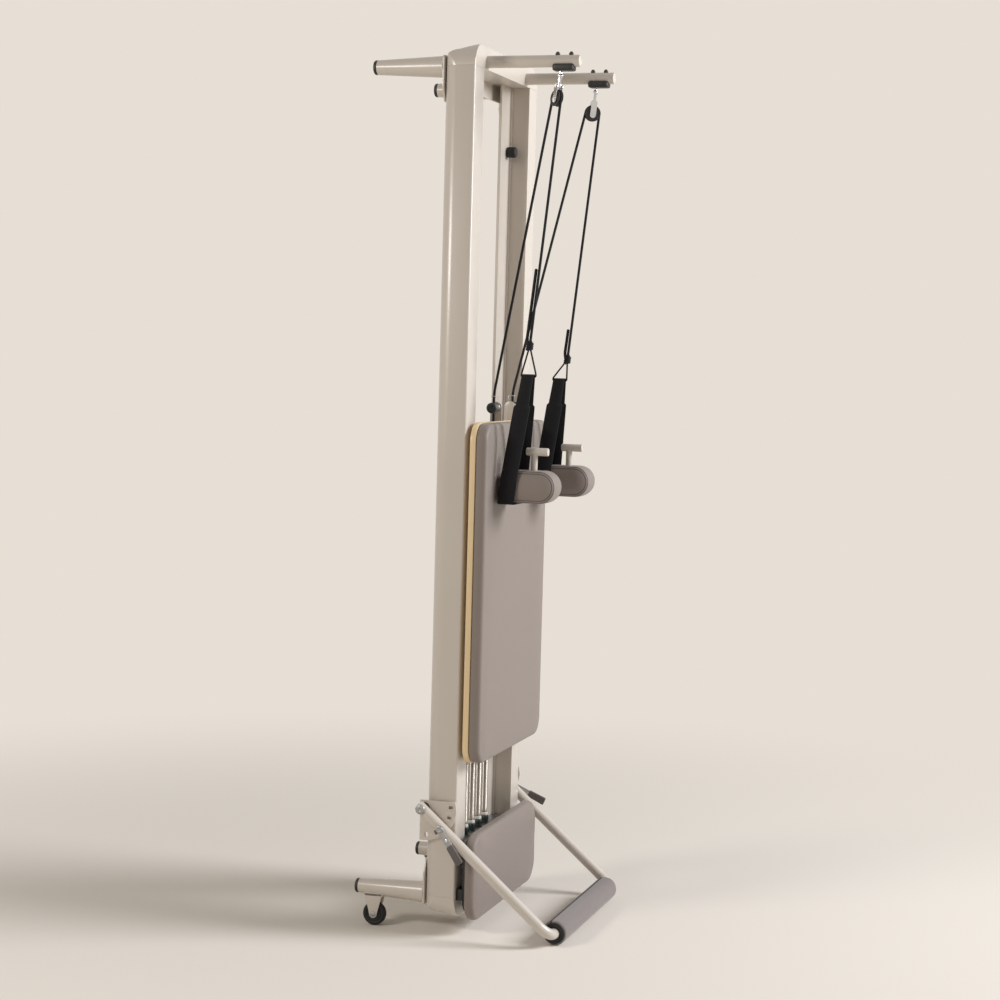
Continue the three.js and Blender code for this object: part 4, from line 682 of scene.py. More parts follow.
# %% Mould the caps
CAP_TALL, CAP_FALL, CAP_ROUND, CAP_EDGE, SOFTNESS = 0.064, 0.018, 0.038, 0.006, 0.0022
SKIRT_X, SKIRT_RISE, SKIRT_LAP = RAIL_INNER - 0.0004, 0.045, 0.003


def quarter(radius, reach):
    """The height of a quarter circle at some reach from its middle."""
    return math.sqrt(max(radius ** 2 - max(reach, 0.0) ** 2, 0.0))


def cap_height(x, y):
    front_rule = quarter(CAP_TALL, abs(x) - (FRAME_HALF - CAP_TALL))
    turn_from = RAIL_DEPTH - CAP_ROUND
    side_rule = CAP_TALL - CAP_FALL * min(y / turn_from, 1.0) - CAP_EDGE + quarter(CAP_EDGE, CAP_EDGE - y)
    side_rule += quarter(CAP_ROUND, y - turn_from) - CAP_ROUND
    blend = SOFTNESS * math.log1p(math.exp(-abs(front_rule - side_rule) / SOFTNESS))
    return max(min(front_rule, side_rule) - blend, 0.0)


def depth_range(x):
    """Where the cap starts and ends in depth: its plan has the rails' round corners."""
    near, far = (abs(x) - (FRAME_HALF - r) for r in (CAP_EDGE, RAIL_ROUND))
    return CAP_EDGE - quarter(CAP_EDGE, near), RAIL_DEPTH - RAIL_ROUND + quarter(RAIL_ROUND, far)


def end_cap(end, foot, upwards):
    corner = [FRAME_HALF - CAP_TALL + CAP_TALL * math.sin(math.radians(a)) for a in np.linspace(0, 90, 33)]
    across = [-x for x in reversed(corner)] + list(np.linspace(-0.2, 0.2, 9)) + corner
    down = [(1 - math.cos(math.pi * k / 36)) / 2 for k in range(37)]
    points, top, under = [], [], []
    for x in across:
        start, stop = depth_range(x)
        line = [(x, start + (stop - start) * v) for v in down]
        for rows, height in ((top, cap_height), (under, lambda x, y: -0.0002)):
            rows.append(range(len(points), len(points) + len(line)))
            points += [foot + Vector((x, y, upwards * height(x, y))) for x, y in line]
    faces = []
    for i in range(len(across) - 1):
        for k in range(len(down) - 1):
            faces.append((top[i][k], top[i + 1][k], top[i + 1][k + 1], top[i][k + 1]))
            faces.append((under[i][k], under[i][k + 1], under[i + 1][k + 1], under[i + 1][k]))
        faces += [(top[i][k], under[i][k], under[i + 1][k], top[i + 1][k]) for k in (0, -1)]
    for i in (0, -1):
        faces += [(top[i][k], top[i][k + 1], under[i][k + 1], under[i][k]) for k in range(len(down) - 1)]
    fit(mesh_piece(f"{end}_cap_moulding", points, faces, CREAM, degrees=45))
    low, high = sorted((foot.z - upwards * SKIRT_RISE, foot.z + upwards * SKIRT_LAP))
    bar_between(f"{end}_end_cap_skirt", Vector((-SKIRT_X, FRONT + RAIL_DEPTH - RAIL_EDGE, low)),
                Vector((SKIRT_X, FRONT + RAIL_DEPTH, high)), CREAM)


end_cap("head", at(0, 0, FRAME_LENGTH - CAP_TALL), 1)
end_cap("foot", at(0, 0, CAP_TALL), -1)
print("two end caps,", round(CAP_TALL * 1000), "mm tall at the front")

# %% [markdown]
# ## Legs and transport wheels
#
# While the machine is stored, its four legs point backwards. Each is a spun cone welded to a plate
# that narrows along the rail, with a black plug in its open end. The two at the foot end carry a
# fork and a rubber wheel. The cones and wheels are turned, and the fork's cheeks are cut from plate.

# %% Legs
LEG_X, LEG_START, LEG_LENGTH, LEG_BASE, LEG_END, LEG_WALL = 0.258, 0.0963, 0.195, 0.029, 0.020, 0.003
HEAD_LEG, FOOT_LEG, LEG_PLATE = FRAME_LENGTH - 0.064, 0.064, 0.005
BACKWARD, FORWARD, UPWARD = Vector((0, 1, 0)), Vector((0, -1, 0)), Vector((0, 0, 1))


def leg(side, sign, end, height, plate_down):
    centre = at(sign * LEG_X, LEG_START, height)
    mouth, floor = LEG_END - LEG_WALL, LEG_LENGTH - 0.010
    cone = [(0.0, 0.0), (LEG_BASE + LEG_WALL, 0.0), (LEG_BASE + 0.0004, 0.0034), (LEG_END, LEG_LENGTH),
            (mouth, LEG_LENGTH), (mouth, floor), (0.0, floor)]
    turned(f"leg_{end}_{side}_cone", centre, BACKWARD, cone, CREAM, 64, 0.0008)
    shoulder, toe = (0.030, -0.059), (0.012, -0.095)
    half = [(0.030, 0.029), shoulder, toe]
    outline = [(-u, v) for u, v in half] + half[::-1]
    outline = [(u, v * plate_down) for u, v in eased(outline, 0.006, 6, closed=True)]
    place = basis(*FRONT_VIEW, centre + FORWARD * (LEG_PLATE / 2))
    cut_plate(f"leg_{end}_{side}_plate", outline, LEG_PLATE, place, CREAM, edge=0.0008)
    plug = [(0.0, -0.008), (mouth - 0.0004, -0.008), (mouth - 0.0004, 0.0003), (LEG_END, 0.0003),
            (LEG_END, 0.0065), (LEG_END - 0.002, 0.0095), (LEG_END * 0.6, 0.011), (0.0, 0.011)]
    turned(f"leg_cap_{end}_{side}_plug", centre + BACKWARD * LEG_LENGTH, BACKWARD, plug, BLACK, 48, 0.0012)


for side, sign in SIDES:
    leg(side, sign, "head", HEAD_LEG, 1)
    leg(side, sign, "foot", FOOT_LEG, -1)
print("four legs,", round(LEG_LENGTH * 1000), "mm long")

# %% Forks and wheels
WHEEL_Y, WHEEL_Z, WHEEL_RADIUS = 0.2453, -0.010, 0.033
FORK_HALF, FORK_TOP, FORK_TIP, CHEEK_X, CHEEK_THICKNESS = 0.027, FOOT_LEG - 0.012, 0.011, 0.015, 0.003
BRIDGE_LOW, BRIDGE_HIGH = FOOT_LEG - 0.023, FOOT_LEG - 0.016
DOME = [(0.0, 0.0), (0.008, 0.0), (0.0075, 0.002), (0.004, 0.003), (0.0, 0.0032)]
TYRE = both_sides([(0.021, -0.0105), (0.027, -0.0120), (0.031, -0.0100), (0.0326, -0.0060)],
                  [(WHEEL_RADIUS, 0.0)])
HUB = both_sides([(0.0053, -0.0120), (0.009, -0.0120), (0.010, -0.0085), (0.019, -0.0085), (0.0208, -0.0115),
                  (0.0212, -0.0100)])


def fork(side, sign):
    node, x = f"leg_foot_{side}", sign * LEG_X
    tip = arc((WHEEL_Y, WHEEL_Z), FORK_TIP, 180, 360, 14)
    outline = [(WHEEL_Y - FORK_HALF, FORK_TOP), *tip, (WHEEL_Y + FORK_HALF, FORK_TOP)]
    for cheek in (-1, 1):
        name = f"{node}_cheek_{'inner' if cheek == -sign else 'outer'}"
        lie = basis(*SIDE_VIEW, at(x + cheek * CHEEK_X, 0, 0))
        cut_plate(name, outline, CHEEK_THICKNESS, lie, CREAM)
        head = at(x + cheek * (CHEEK_X + 0.0014), WHEEL_Y, WHEEL_Z)
        turned(f"{name}_axle_head", head, (cheek, 0, 0), DOME, STEEL, 32)
    reach = CHEEK_X + CHEEK_THICKNESS / 2
    bar_between(f"{node}_bridge", at(x - reach, WHEEL_Y - FORK_HALF, BRIDGE_LOW),
                at(x + reach, WHEEL_Y + FORK_HALF, BRIDGE_HIGH), CREAM)


for side, sign in SIDES:
    fork(side, sign)
    centre = at(sign * LEG_X, WHEEL_Y, WHEEL_Z)
    turned(f"transport_wheel_{side}_tyre", centre, (1, 0, 0), TYRE, RUBBER, 72, 0.0012)
    turned(f"transport_wheel_{side}_hub", centre, (1, 0, 0), HUB, BLACK, 72, 0.0006)
print("wheels are", round(WHEEL_RADIUS * 2000), "mm across")

# %% [markdown]
# ## The footbar and its foam
#
# The bar is one tube bent into a U, lowered so that the machine also stands on it. Its crossing part
# wears a foam sleeve: a black core whose ends show as rings, and a knitted cover closed by one long
# seam. The seam is pressed in by pulling the cover's skin inward near one angle.
# A dark cord laid along that dip paints the seam's shade.

# %% Bend the bar and cover it
PIVOT_Y, PIVOT_Z = 0.089, 0.312
BAR_X, BAR_RADIUS, BAR_LENGTH, BAR_CORNER, BAR_PAST = 0.3298, 0.015, 0.491, 0.043, 0.013
FOAM_RADIUS, FOAM_HALF, COVER_HALF, SEAM_ANGLE = 0.034, 0.286, 0.281, math.radians(20)
BAR_ANGLE = math.asin((PIVOT_Z + 0.043 - FOAM_RADIUS) / BAR_LENGTH)


def along_bar(x, reach):
    """A place so far from the pivots, on the bar's own plane."""
    return at(x, PIVOT_Y - math.cos(BAR_ANGLE) * reach, PIVOT_Z - math.sin(BAR_ANGLE) * reach)


bends = ((-BAR_X, -BAR_PAST), (-BAR_X, BAR_LENGTH), (BAR_X, BAR_LENGTH), (BAR_X, -BAR_PAST))
corners = [along_bar(x, reach) for x, reach in bends]
fit(bent("footbar_tube", eased(corners, BAR_CORNER, 20), BAR_RADIUS, CREAM, 48, 0.14))
bar_middle = along_bar(0, BAR_LENGTH)


def foam_cover():
    """The cover's skin as rings along x, dipping in along its seam and drawn over at its ends."""
    ends = [0.0, 0.0006, 0.0016, 0.0032, 0.0055, 0.0085, 0.012, 0.02]
    length = 2 * COVER_HALF
    rings = []
    for place in (*ends, *np.linspace(0.04, 0.532, 30), *(length - v for v in reversed(ends))):
        size = FOAM_RADIUS - 0.0038 * math.exp(-min(place, length - place) / 0.0022)
        ring, middle = [], bar_middle + Vector((place - COVER_HALF, 0, 0))
        for k in range(96):
            turn = TURN * k / 96
            away = (turn - SEAM_ANGLE + math.pi) % TURN - math.pi
            reach = size - 0.0026 * math.exp(-(away * FOAM_RADIUS / 0.0026) ** 2)
            ring.append(about(middle, UPWARD, BACKWARD, reach, turn))
        rings.append(ring)
    return skinned("foam_cover", rings, KNIT, capped=True, degrees=50)


def foam_seam_shade():
    """A dark cord in the cover's dip that turns over both ends: painted shade along the seam."""
    out, reach = Vector((0, math.sin(SEAM_ANGLE), math.cos(SEAM_ANGLE))), Vector((0.2800, 0, 0))
    high, low = bar_middle + out * (FOAM_RADIUS - 0.0022), bar_middle + out * (FOAM_RADIUS - 0.0060)
    line = [low - reach, high - reach * 0.985, high + reach * 0.985, low + reach]
    return bent("foam_seam_shade", eased(line, 0.004, 4), 0.0032, SEAM_SHADE, 12, 0.5)


fit(foam_cover())
fit(foam_seam_shade())
for side, sign in SIDES:
    place = along_bar(sign * FOAM_HALF, BAR_LENGTH)
    turned(f"foam_core_{side}", place, (-sign, 0, 0), washer(0.0153, 0.0287, 0.012), RUBBER, 64, 0.0015)
print("foam sleeve", round(FOAM_HALF * 2000), "mm long")

# %% [markdown]
# ## Brackets, bolts and latches
#
# A plate on each side of the frame carries the bar's bolt and an arc of five slots. A spring latch
# on the bar drops its pin into one of them: a strip of steel with a round boss, a screw and a dark
# grip. All of these are cut plates and turned bolts. The slots are real holes in the drawing.

# %% Brackets and pivot bolts
SLOT_REACH, SLOT_ANGLES = 0.076, (-3, 19, 41, 63, 85)
BRACKET_REACH, BRACKET_EDGE, BRACKET_X, BRACKET_THICKNESS = 0.092, 0.004, 0.3043, 0.008
BOLT = [(0.0, -0.0498), (0.009, -0.0498), (0.009, -0.0448), (0.006, -0.0448), (0.006, 0.0003),
        (0.0135, 0.0003), (0.0135, 0.0025), (0.0115, 0.0050), (0.007, 0.0059), (0.0045, 0.0060),
        (0.0040, 0.0042), (0.0, 0.0040)]


def bracket(side, sign):
    start = math.degrees(math.asin(BRACKET_EDGE / BRACKET_REACH))
    outline = [(0.013, 0.019), *arc((-0.085, 0.015), BRACKET_EDGE, 90, 180, 8),
               *arc((0, 0), BRACKET_REACH, 180 + start, 270, 40), (0.013, -BRACKET_REACH)]
    slots = []
    for angle in (math.radians(a) for a in SLOT_ANGLES):
        out, over = Vector((-math.cos(angle), -math.sin(angle))), Vector((math.sin(angle), -math.cos(angle)))
        box = rounded_box(0.012, 0.008, 0.0012)
        slots.append([tuple(out * SLOT_REACH + out * u + over * v) for u, v in box])
    node = f"footbar_bracket_{side}"
    place = basis(*SIDE_VIEW, at(sign * BRACKET_X, PIVOT_Y, PIVOT_Z))
    cut_plate(f"{node}_plate", outline, BRACKET_THICKNESS, place, CREAM, slots, 0.0010)
    outside = at(sign * (BRACKET_X + BRACKET_THICKNESS / 2), PIVOT_Y, PIVOT_Z)
    turned(f"{node}_spacer", outside, (sign, 0, 0), washer(0.0065, 0.014, 0.0062), BLACK, 48, 0.0006)


for side, sign in SIDES:
    bracket(side, sign)
    outer = at(sign * (BAR_X + BAR_RADIUS), PIVOT_Y, PIVOT_Z)
    turned(f"pivot_bolt_{side}_turned", outer, (sign, 0, 0), BOLT, STEEL, 48, 0.0008)
print("two brackets with", len(SLOT_ANGLES), "slots each")

# %% Latches
LATCH_TURN = {"left": math.radians(15), "right": math.radians(-17)}
STRIP_LENGTH, STRIP_WIDTH, STRIP_THICKNESS, GRIP_THICKNESS, SCREW_REACH = 0.071, 0.018, 0.0034, 0.0088, 0.036
BOSS = [(0.0, 0.0), (0.010, 0.0), (0.010, 0.0070), (0.0085, 0.0080), (0.0045, 0.0080), (0.0040, 0.0070),
        (0.0, 0.0070)]
PIN = [(0.0, -0.0355), (0.0027, -0.0350), (0.0035, -0.0330), (0.0035, 0.0010), (0.0, 0.0010)]
SCREW = [(0.0, 0.0), (0.0045, 0.0), (0.0043, 0.0014), (0.0028, 0.0020), (0.0, 0.0020)]


def latch(side, sign):
    angle = BAR_ANGLE + LATCH_TURN[side]
    pin, outward = along_bar(sign * (BAR_X + BAR_RADIUS), SLOT_REACH), Vector((sign, 0, 0))
    out = Vector((0, -math.cos(angle), -math.sin(angle)))
    over = Vector((0, math.sin(angle), -math.cos(angle)))
    strip = [(u + 0.031, v) for u, v in rounded_box(STRIP_LENGTH, STRIP_WIDTH, 0.0087)]
    lie = basis(out, over, pin + outward * 0.0022)
    cut_plate(f"latch_{side}_strip", strip, STRIP_THICKNESS, lie, STEEL, edge=0.0005)
    turned(f"latch_{side}_boss", pin + outward * 0.0004, outward, BOSS, STEEL, 48, 0.0006)
    turned(f"latch_{side}_pin", pin, outward, PIN, STEEL, 24, 0.0004)
    face = pin + out * SCREW_REACH + outward * 0.0039
    turned(f"latch_{side}_screw", face, outward, SCREW, CHROME, 32, 0.0004)
    grip = eased([(0.053, -0.010), (0.109, -0.0115), (0.109, 0.0115), (0.053, 0.010)], 0.004, 6, closed=True)
    lie = basis(out, over, pin + outward * 0.0047)
    cut_plate(f"latch_grip_{side}_moulding", grip, GRIP_THICKNESS, lie, GRIP, edge=0.0024, degrees=50)


for side, sign in SIDES:
    latch(side, sign)
print("latches turned by", [round(math.degrees(a)) for a in LATCH_TURN.values()], "degrees from the bar")

# %% [markdown]
# ## Rope arms
#
# Two tubes stick out of the head cap. Each ends in a dished plug, and wears a moulded saddle that
# two bolts pull up from below; their acorn nuts sit on top. The arm and its plug are turned in one
# go each, and the saddle is a thick cut plate whose edges are rounded a lot.

# %% Arms, plugs and saddles
ARM_X, ARM_Z, ARM_RADIUS, ARM_FRONT = 0.188, 2.351, 0.0165, -0.261
SADDLE_Y, SADDLE_THICKNESS, SADDLE_DROP, NUT_SPREAD = -0.216, 0.018, 0.0175, 0.019
ARM = [(0.0, 0.004), (0.0146, 0.004), (0.0146, 0.0006), (0.0158, 0.0), (ARM_RADIUS, 0.0012),
       (ARM_RADIUS, 0.300), (0.0135, 0.312), (0.0, 0.312)]
ARM_PLUG = [(0.0, 0.0022), (0.006, 0.0019), (0.0105, 0.0008), (0.0130, 0.0002), (0.0144, 0.0010),
            (0.0144, 0.0050), (0.0, 0.0050)]
ACORN = [(0.0, 0.0), (0.0065, 0.0), (0.0065, 0.0040), (0.0050, 0.0052), (0.0042, 0.0075), (0.0022, 0.0088),
         (0.0, 0.0090)]

for side, sign in SIDES:
    arm_front = at(sign * ARM_X, ARM_FRONT, ARM_Z)
    turned(f"rope_arm_{side}_tube", arm_front, BACKWARD, ARM, CREAM, 64, 0.0008)
    turned(f"rope_arm_{side}_plug", arm_front, BACKWARD, ARM_PLUG, PLUG, 64, 0.0010)
    lie = basis(*TOP_VIEW, at(sign * ARM_X, SADDLE_Y, ARM_Z - SADDLE_DROP))
    saddle, name = rounded_box(0.040, 0.060, 0.010), f"pulley_saddle_{side}_moulding"
    cut_plate(name, saddle, SADDLE_THICKNESS, lie, BLACK, edge=0.0042, degrees=60)
    for end, shift in (("front", -NUT_SPREAD), ("back", NUT_SPREAD)):
        top = at(sign * ARM_X, SADDLE_Y + shift, ARM_Z + ARM_RADIUS + 0.0001)
        turned(f"pulley_saddle_{side}_nut_{end}", top, UPWARD, ACORN, BLACK, 32, 0.0012, 50)
print("rope arms reach", round(-ARM_FRONT * 1000), "mm forward")

# %% [markdown]
# ## Pulleys
#
# A pulley block hangs from a ball under each saddle, so it turns and leans towards its rope. The
# block is built in its own upright frame and laid in place by one matrix: two polished cheeks, a
# bridge, a neck, and a pin through a grooved plastic sheave.

# %% Hang the pulleys
PULLEY_TURN = {"left": (-40, 8), "right": (27, 7)}
BALL_Y, BALL_Z, HANG, BALL_RADIUS, GROOVE_ROUND = -0.206, 2.3115, 0.060, 0.0075, 0.0048
PULLEY_CHEEK_X, PULLEY_CHEEK_DROP, BRIDGE_DROP = 0.008, 0.0475, 0.028
STEM = [(0.0, 0.0), (0.0045, 0.0), (0.0045, 0.0124), (0.0, 0.0124)]
NECK = [(0.0, -0.026), (0.0045, -0.026), (0.0045, 0.0), (0.0, 0.0)]
BALL = [(0.0, -BALL_RADIUS), *arc((0, 0), BALL_RADIUS, -78, 78, 13), (0.0, BALL_RADIUS)]
RIVET = [(0.0, 0.0), (0.0048, 0.0), (0.0044, 0.0009), (0.0028, 0.0013), (0.0, 0.0014)]
GROOVE = [(0.0164 + GROOVE_ROUND * (1 - math.cos(turn)), GROOVE_ROUND * math.sin(turn) * 0.9)
          for turn in (math.radians(a) for a in range(-80, 81, 20))]
SHEAVE = both_sides([(0.0033, -0.0060), (0.010, -0.0060), (0.011, -0.0050), (0.018, -0.0050),
                     (0.019, -0.0060), (0.0226, -0.0060), (0.0230, -0.0055)], GROOVE)


def pulley_frame(side, sign):
    turn, lean = (math.radians(a) for a in PULLEY_TURN[side])
    leaning = Matrix.Translation(at(sign * ARM_X, BALL_Y, BALL_Z)) @ Matrix.Rotation(lean, 4, "X")
    return leaning @ Matrix.Rotation(turn, 4, "Z")


def pulley(side, sign):
    node, hung = f"pulley_block_{side}", pulley_frame(side, sign)
    top, axle, drop = hung.translation, hung.to_3x3() @ Vector((1, 0, 0)), hung.to_3x3() @ UPWARD
    turned(f"{node}_stem", top, UPWARD, STEM, CHROME, 32)
    turned(f"{node}_ball", top, UPWARD, BALL, CHROME, 40)
    turned(f"{node}_neck", top, drop, NECK, CHROME, 32)
    for cheek, sense in (("near", 1), ("far", -1)):
        lie = hung @ basis(*SIDE_VIEW, (sense * PULLEY_CHEEK_X, 0, -PULLEY_CHEEK_DROP))
        cut_plate(f"{node}_cheek_{cheek}", rounded_box(0.017, 0.051, 0.0084), 0.002, lie, CHROME, edge=0.0004)
        face = hung @ Vector((sense * (PULLEY_CHEEK_X + 0.0009), 0, -HANG))
        turned(f"{node}_rivet_{cheek}", face, axle * sense, RIVET, CHROME, 32)
    lie = hung @ basis(*SIDE_VIEW, (0, 0, -BRIDGE_DROP))
    cut_plate(f"{node}_bridge", rounded_box(0.009, 0.011, 0.001), 0.0142, lie, STEEL, edge=0.0004)
    turned(f"pulley_sheave_{side}_wheel", hung @ Vector((0, 0, -HANG)), axle, SHEAVE, BLACK, 64, 0.0003)


for side, sign in SIDES:
    pulley(side, sign)
print("pulleys hang", round(HANG * 1000), "mm below their balls")

# %% [markdown]
# ## Straps
#
# A loop of webbing lies under each shoulder rest and narrows upwards to the rope. Webbing is a
# ribbon: its middle line is drawn in the front view, its width lies across that view, and each ring
# of the mesh is a flat rounded section. The flat map is laid in metres, so the weave stays true to
# size. The carriage can rise further than the strap is long, but the strap keeps its drawn shape.

# %% Sew the straps
REST_X, REST_BOTTOM, PAD_FRONT = 0.180, 1.152, -0.0663
STRAPS = {"left": (0.353, 0.040, 0.008), "right": (0.341, 0.035, 0.002)}
STRAP_WIDE, STRAP_NARROW, STRAP_TOP, STRAP_THICK, STRAP_KEEP = 0.0465, 0.0365, 0.033, 0.0034, 0.42
SECTION = [(-0.5, -0.25), (-0.485, -0.5), (0.485, -0.5), (0.5, -0.25), (0.5, 0.25), (0.485, 0.5),
           (-0.485, 0.5), (-0.5, 0.25)]
WEB_ACROSS = [0.0, 0.001, 0.0455, 0.0465, 0.048, 0.049, 0.0935, 0.0945, 0.096]
slide = next(joint for joint in frame["record"]["behaviour"]["joints"] if joint["name"] == "carriage_slide")
TRAVEL = max(slide.get("range_m") or [0.0, 0.775])


def strap_line(side, rise):
    """The middle of the strap's width at a height above the rest's lower side."""
    length, offset, gap = STRAPS[side]
    return PAD_FRONT - gap - 0.023 - rise / length * offset


def strap_width(rise):
    """Wide webbing up to the step, then narrower up to the rope."""
    share = min(max((rise - 0.264) / 0.004, 0.0), 1.0)
    above_step = STRAP_NARROW + (STRAP_TOP - STRAP_NARROW) * (rise - 0.266) / 0.08
    return STRAP_WIDE + (above_step - STRAP_WIDE) * share


def finely(line, step=0.004):
    """More points along a closed line, so that a band can bend and crumple."""
    made = []
    for spot, after in zip(line, [*line[1:], line[0]]):
        count = max(int((after - spot).length / step), 1)
        made += [spot.lerp(after, k / count) for k in range(count)]
    return made


def strap(side, sign):
    length, inner, low = STRAPS[side][0], 0.0560, -0.0023
    half = [(inner, low), (inner, 0.066), (0.0095, length - 0.009), (0.0075, length - 0.0020)]
    corners = [(0.0, low), *half, *((-x, rise) for x, rise in reversed(half))]
    line = finely(eased(corners, 0.007, 6, closed=True))
    rings, along = [], [0.0]
    for before, spot, after in zip([line[-1], *line], line, [*line[1:], line[0]]):
        outward = Vector((after.y - before.y, before.x - after.x)).normalized() * STRAP_THICK
        middle = at(sign * REST_X + spot.x, strap_line(side, spot.y), REST_BOTTOM + spot.y)
        wide = strap_width(spot.y)
        rings.append([middle + Vector((outward.x * v, u * wide, outward.y * v)) for u, v in SECTION])
        along.append(along[-1] + (after - spot).length)
    name = f"strap_{side}_webbing"
    crumple(fit(skinned(name, rings, WEBBING, joined=True, across=WEB_ACROSS, along=along, degrees=60)), sign)


def crumple(piece, sign):
    anchor = at(sign * REST_X, 0, REST_BOTTOM)
    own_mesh(piece)


for side, sign in SIDES:
    strap(side, sign)
print("straps hang", [round(v[0] * 1000) for v in STRAPS.values()], "mm above the rests")

# %% [markdown]
# ## Ropes
#
# Each rope comes up from the carriage's cleat, goes over its sheave and down to a knot above the
# strap. In the real knot the rope's end is wound round the standing part, so a helix of three and a
# half turns gives its shape, and the end stands beside the rope as a tail. A thinner loop joins knot
# and strap. As the carriage rises, both strands go slack; for each, the share of its length that
# would keep it joined to what moves is printed, but the strand is not shortened. A short length
# below the sheave belongs to the piece over the sheave, so the strand to the knot starts clear of
# the wheel.

# %% Braid the ropes
CLEAT_X, CLEAT_Y, CLEAT_TOP, CLEAT_GUIDE = 0.090, -0.012, 1.3703, 1.4485
KNOTS = {"left": (0.077, 0.001, 0.31), "right": (0.054, 0.021, 0.12)}
ROPE_RADIUS, SHEAVE_SEAT, LEAD, PAST_SHEAVE = 0.00375, 0.02005, math.radians(7), 0.052
crowns = {}


def braided(name, path, radius=ROPE_RADIUS, sides=16, dome=0.1):
    return bent(name, path, radius, BRAID, sides, dome)


def knot_place(side, sign):
    height, offset, _ = KNOTS[side]
    length = STRAPS[side][0]
    return at(sign * REST_X, strap_line(side, length) - offset, REST_BOTTOM + length + height)


def rope(side, sign):
    hung = pulley_frame(side, sign)
    rearward, upward = (hung.to_3x3() @ direction for direction in (BACKWARD, UPWARD))
    turns = [LEAD + (math.pi - LEAD) * k / 24 for k in range(25)]
    over = [about(hung @ Vector((0, 0, -HANG)), rearward, upward, SHEAVE_SEAT, turn) for turn in turns]
    low, guide = (at(sign * CLEAT_X, CLEAT_Y, z) for z in (CLEAT_TOP, CLEAT_GUIDE))
    knot = knot_place(side, sign)
    clear = over[-1].lerp(knot, PAST_SHEAVE / (over[-1].z - knot.z))
    fit(braided(f"rope_{side}_over_sheave", [*over, clear]))
    rising = fit(braided(f"rope_{side}_from_cleat", eased([low, guide, over[0]], 0.02)))
    shorten(rising, over[0].z - low.z, TRAVEL)
    falling = fit(braided(f"rope_{side}_to_knot", [clear, clear.lerp(knot, 0.5), knot]))
    rise = knot.z - (FOOT + REST_BOTTOM)
    shorten(falling, clear.z - knot.z, TRAVEL - rise * (1 - STRAP_KEEP))
    crowns[side] = over[-1]


def shorten(piece, length, travel):
    keep = 1 - travel / length
    print(piece.name, "keeps", round(keep, 3), "of its length")
    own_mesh(piece)


for side, sign in SIDES:
    rope(side, sign)
print("two ropes over their sheaves")

# %% Tie the knots
KNOT_HALF, WRAP_RADIUS, WRAPS, WRAP_STEPS = 0.0150, 0.0068, 3.5, 14


def helix(low, high, first, second, radius, turns, steps):
    """Points that wind round the line from low to high, so many to a turn."""
    count = int(turns * steps)
    middles = [low.lerp(high, k / count) for k in range(count + 1)]
    return [about(middle, first, second, radius, TURN * k / steps) for k, middle in enumerate(middles)]


def knot(side, sign):
    middle, tail_share, length = knot_place(side, sign), KNOTS[side][2], STRAPS[side][0]
    axis = crowns[side] - middle
    straight = axis.normalized()
    half, first = straight * (KNOT_HALF - ROPE_RADIUS), straight.orthogonal().normalized()
    wraps = helix(middle - half, middle + half, first, straight.cross(first), WRAP_RADIUS, WRAPS, WRAP_STEPS)
    tail_top = middle + axis * tail_share + Vector((0, 0.009, 0))
    tail = [middle + Vector((0, 0.004, -0.004)), middle + Vector((0, 0.0085, 0.016)),
            middle.lerp(tail_top, 0.55) + Vector((0, 0.0045, 0)), tail_top]
    spread, top = 0.0205, REST_BOTTOM + length
    x, y, low = sign * REST_X, strap_line(side, length), top - 0.0071
    corners = ((-spread, top), (-spread, low), (spread, low), (spread, top))
    loop = [middle, *(at(x, y + aside, z) for aside, z in corners), middle]
    for piece in (braided(f"rope_{side}_knot", wraps, sides=14, dome=0.6),
                  braided(f"rope_{side}_tail", eased(tail, 0.03), ROPE_RADIUS * 1.15, dome=0.7),
                  braided(f"rope_{side}_loop", eased(loop, 0.004, 5), 0.0024, 12, 0.3)):
        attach(piece, "carriage")
        crumple(piece, sign)


for side, sign in SIDES:
    knot(side, sign)
print("knots have", WRAPS, "turns each")

# %% [markdown]
# ## The carriage: deck, frame and rollers
#
# The carriage is a lacquered plywood board on a steel frame that rolls on the rails' ledges. The
# board is a cut plate with round corners. The frame of the model is already right, so it is only
# given softer edges: its needless triangles are melted, its edges are bevelled, and the copy stands
# for the node.

# %% Board, steel frame and rollers
CARRIAGE_LOW, CARRIAGE_LENGTH, CARRIAGE_HALF, BOARD_Y, BOARD_THICKNESS = 0.434, 0.936, 0.303, -0.021, 0.016
CARRIAGE_MIDDLE, CARRIAGE_HIGH = CARRIAGE_LOW + CARRIAGE_LENGTH / 2, CARRIAGE_LOW + CARRIAGE_LENGTH
ROLLER_X, ROLLER_Y, ROLLER_INSET = 0.136, 0.0277, 0.060
STOP_X, STOP_Y, FOOT_STOP, HEAD_STOP = 0.192, 0.0267, CARRIAGE_LOW - 0.0163, FRAME_LENGTH - 0.252
TREAD = both_sides([(0.0063, -0.0110), (0.0100, -0.0110), (0.0110, -0.0095), (0.0240, -0.0095),
                    (0.0252, -0.0110), (0.0262, -0.0105), (0.0270, -0.0080)])
BUFFER = [(0.0, 0.0), (0.0110, 0.0), (0.0138, 0.0010), (0.0153, 0.0040), (0.0153, 0.0220), (0.0146, 0.0280),
          (0.0, 0.0280)]


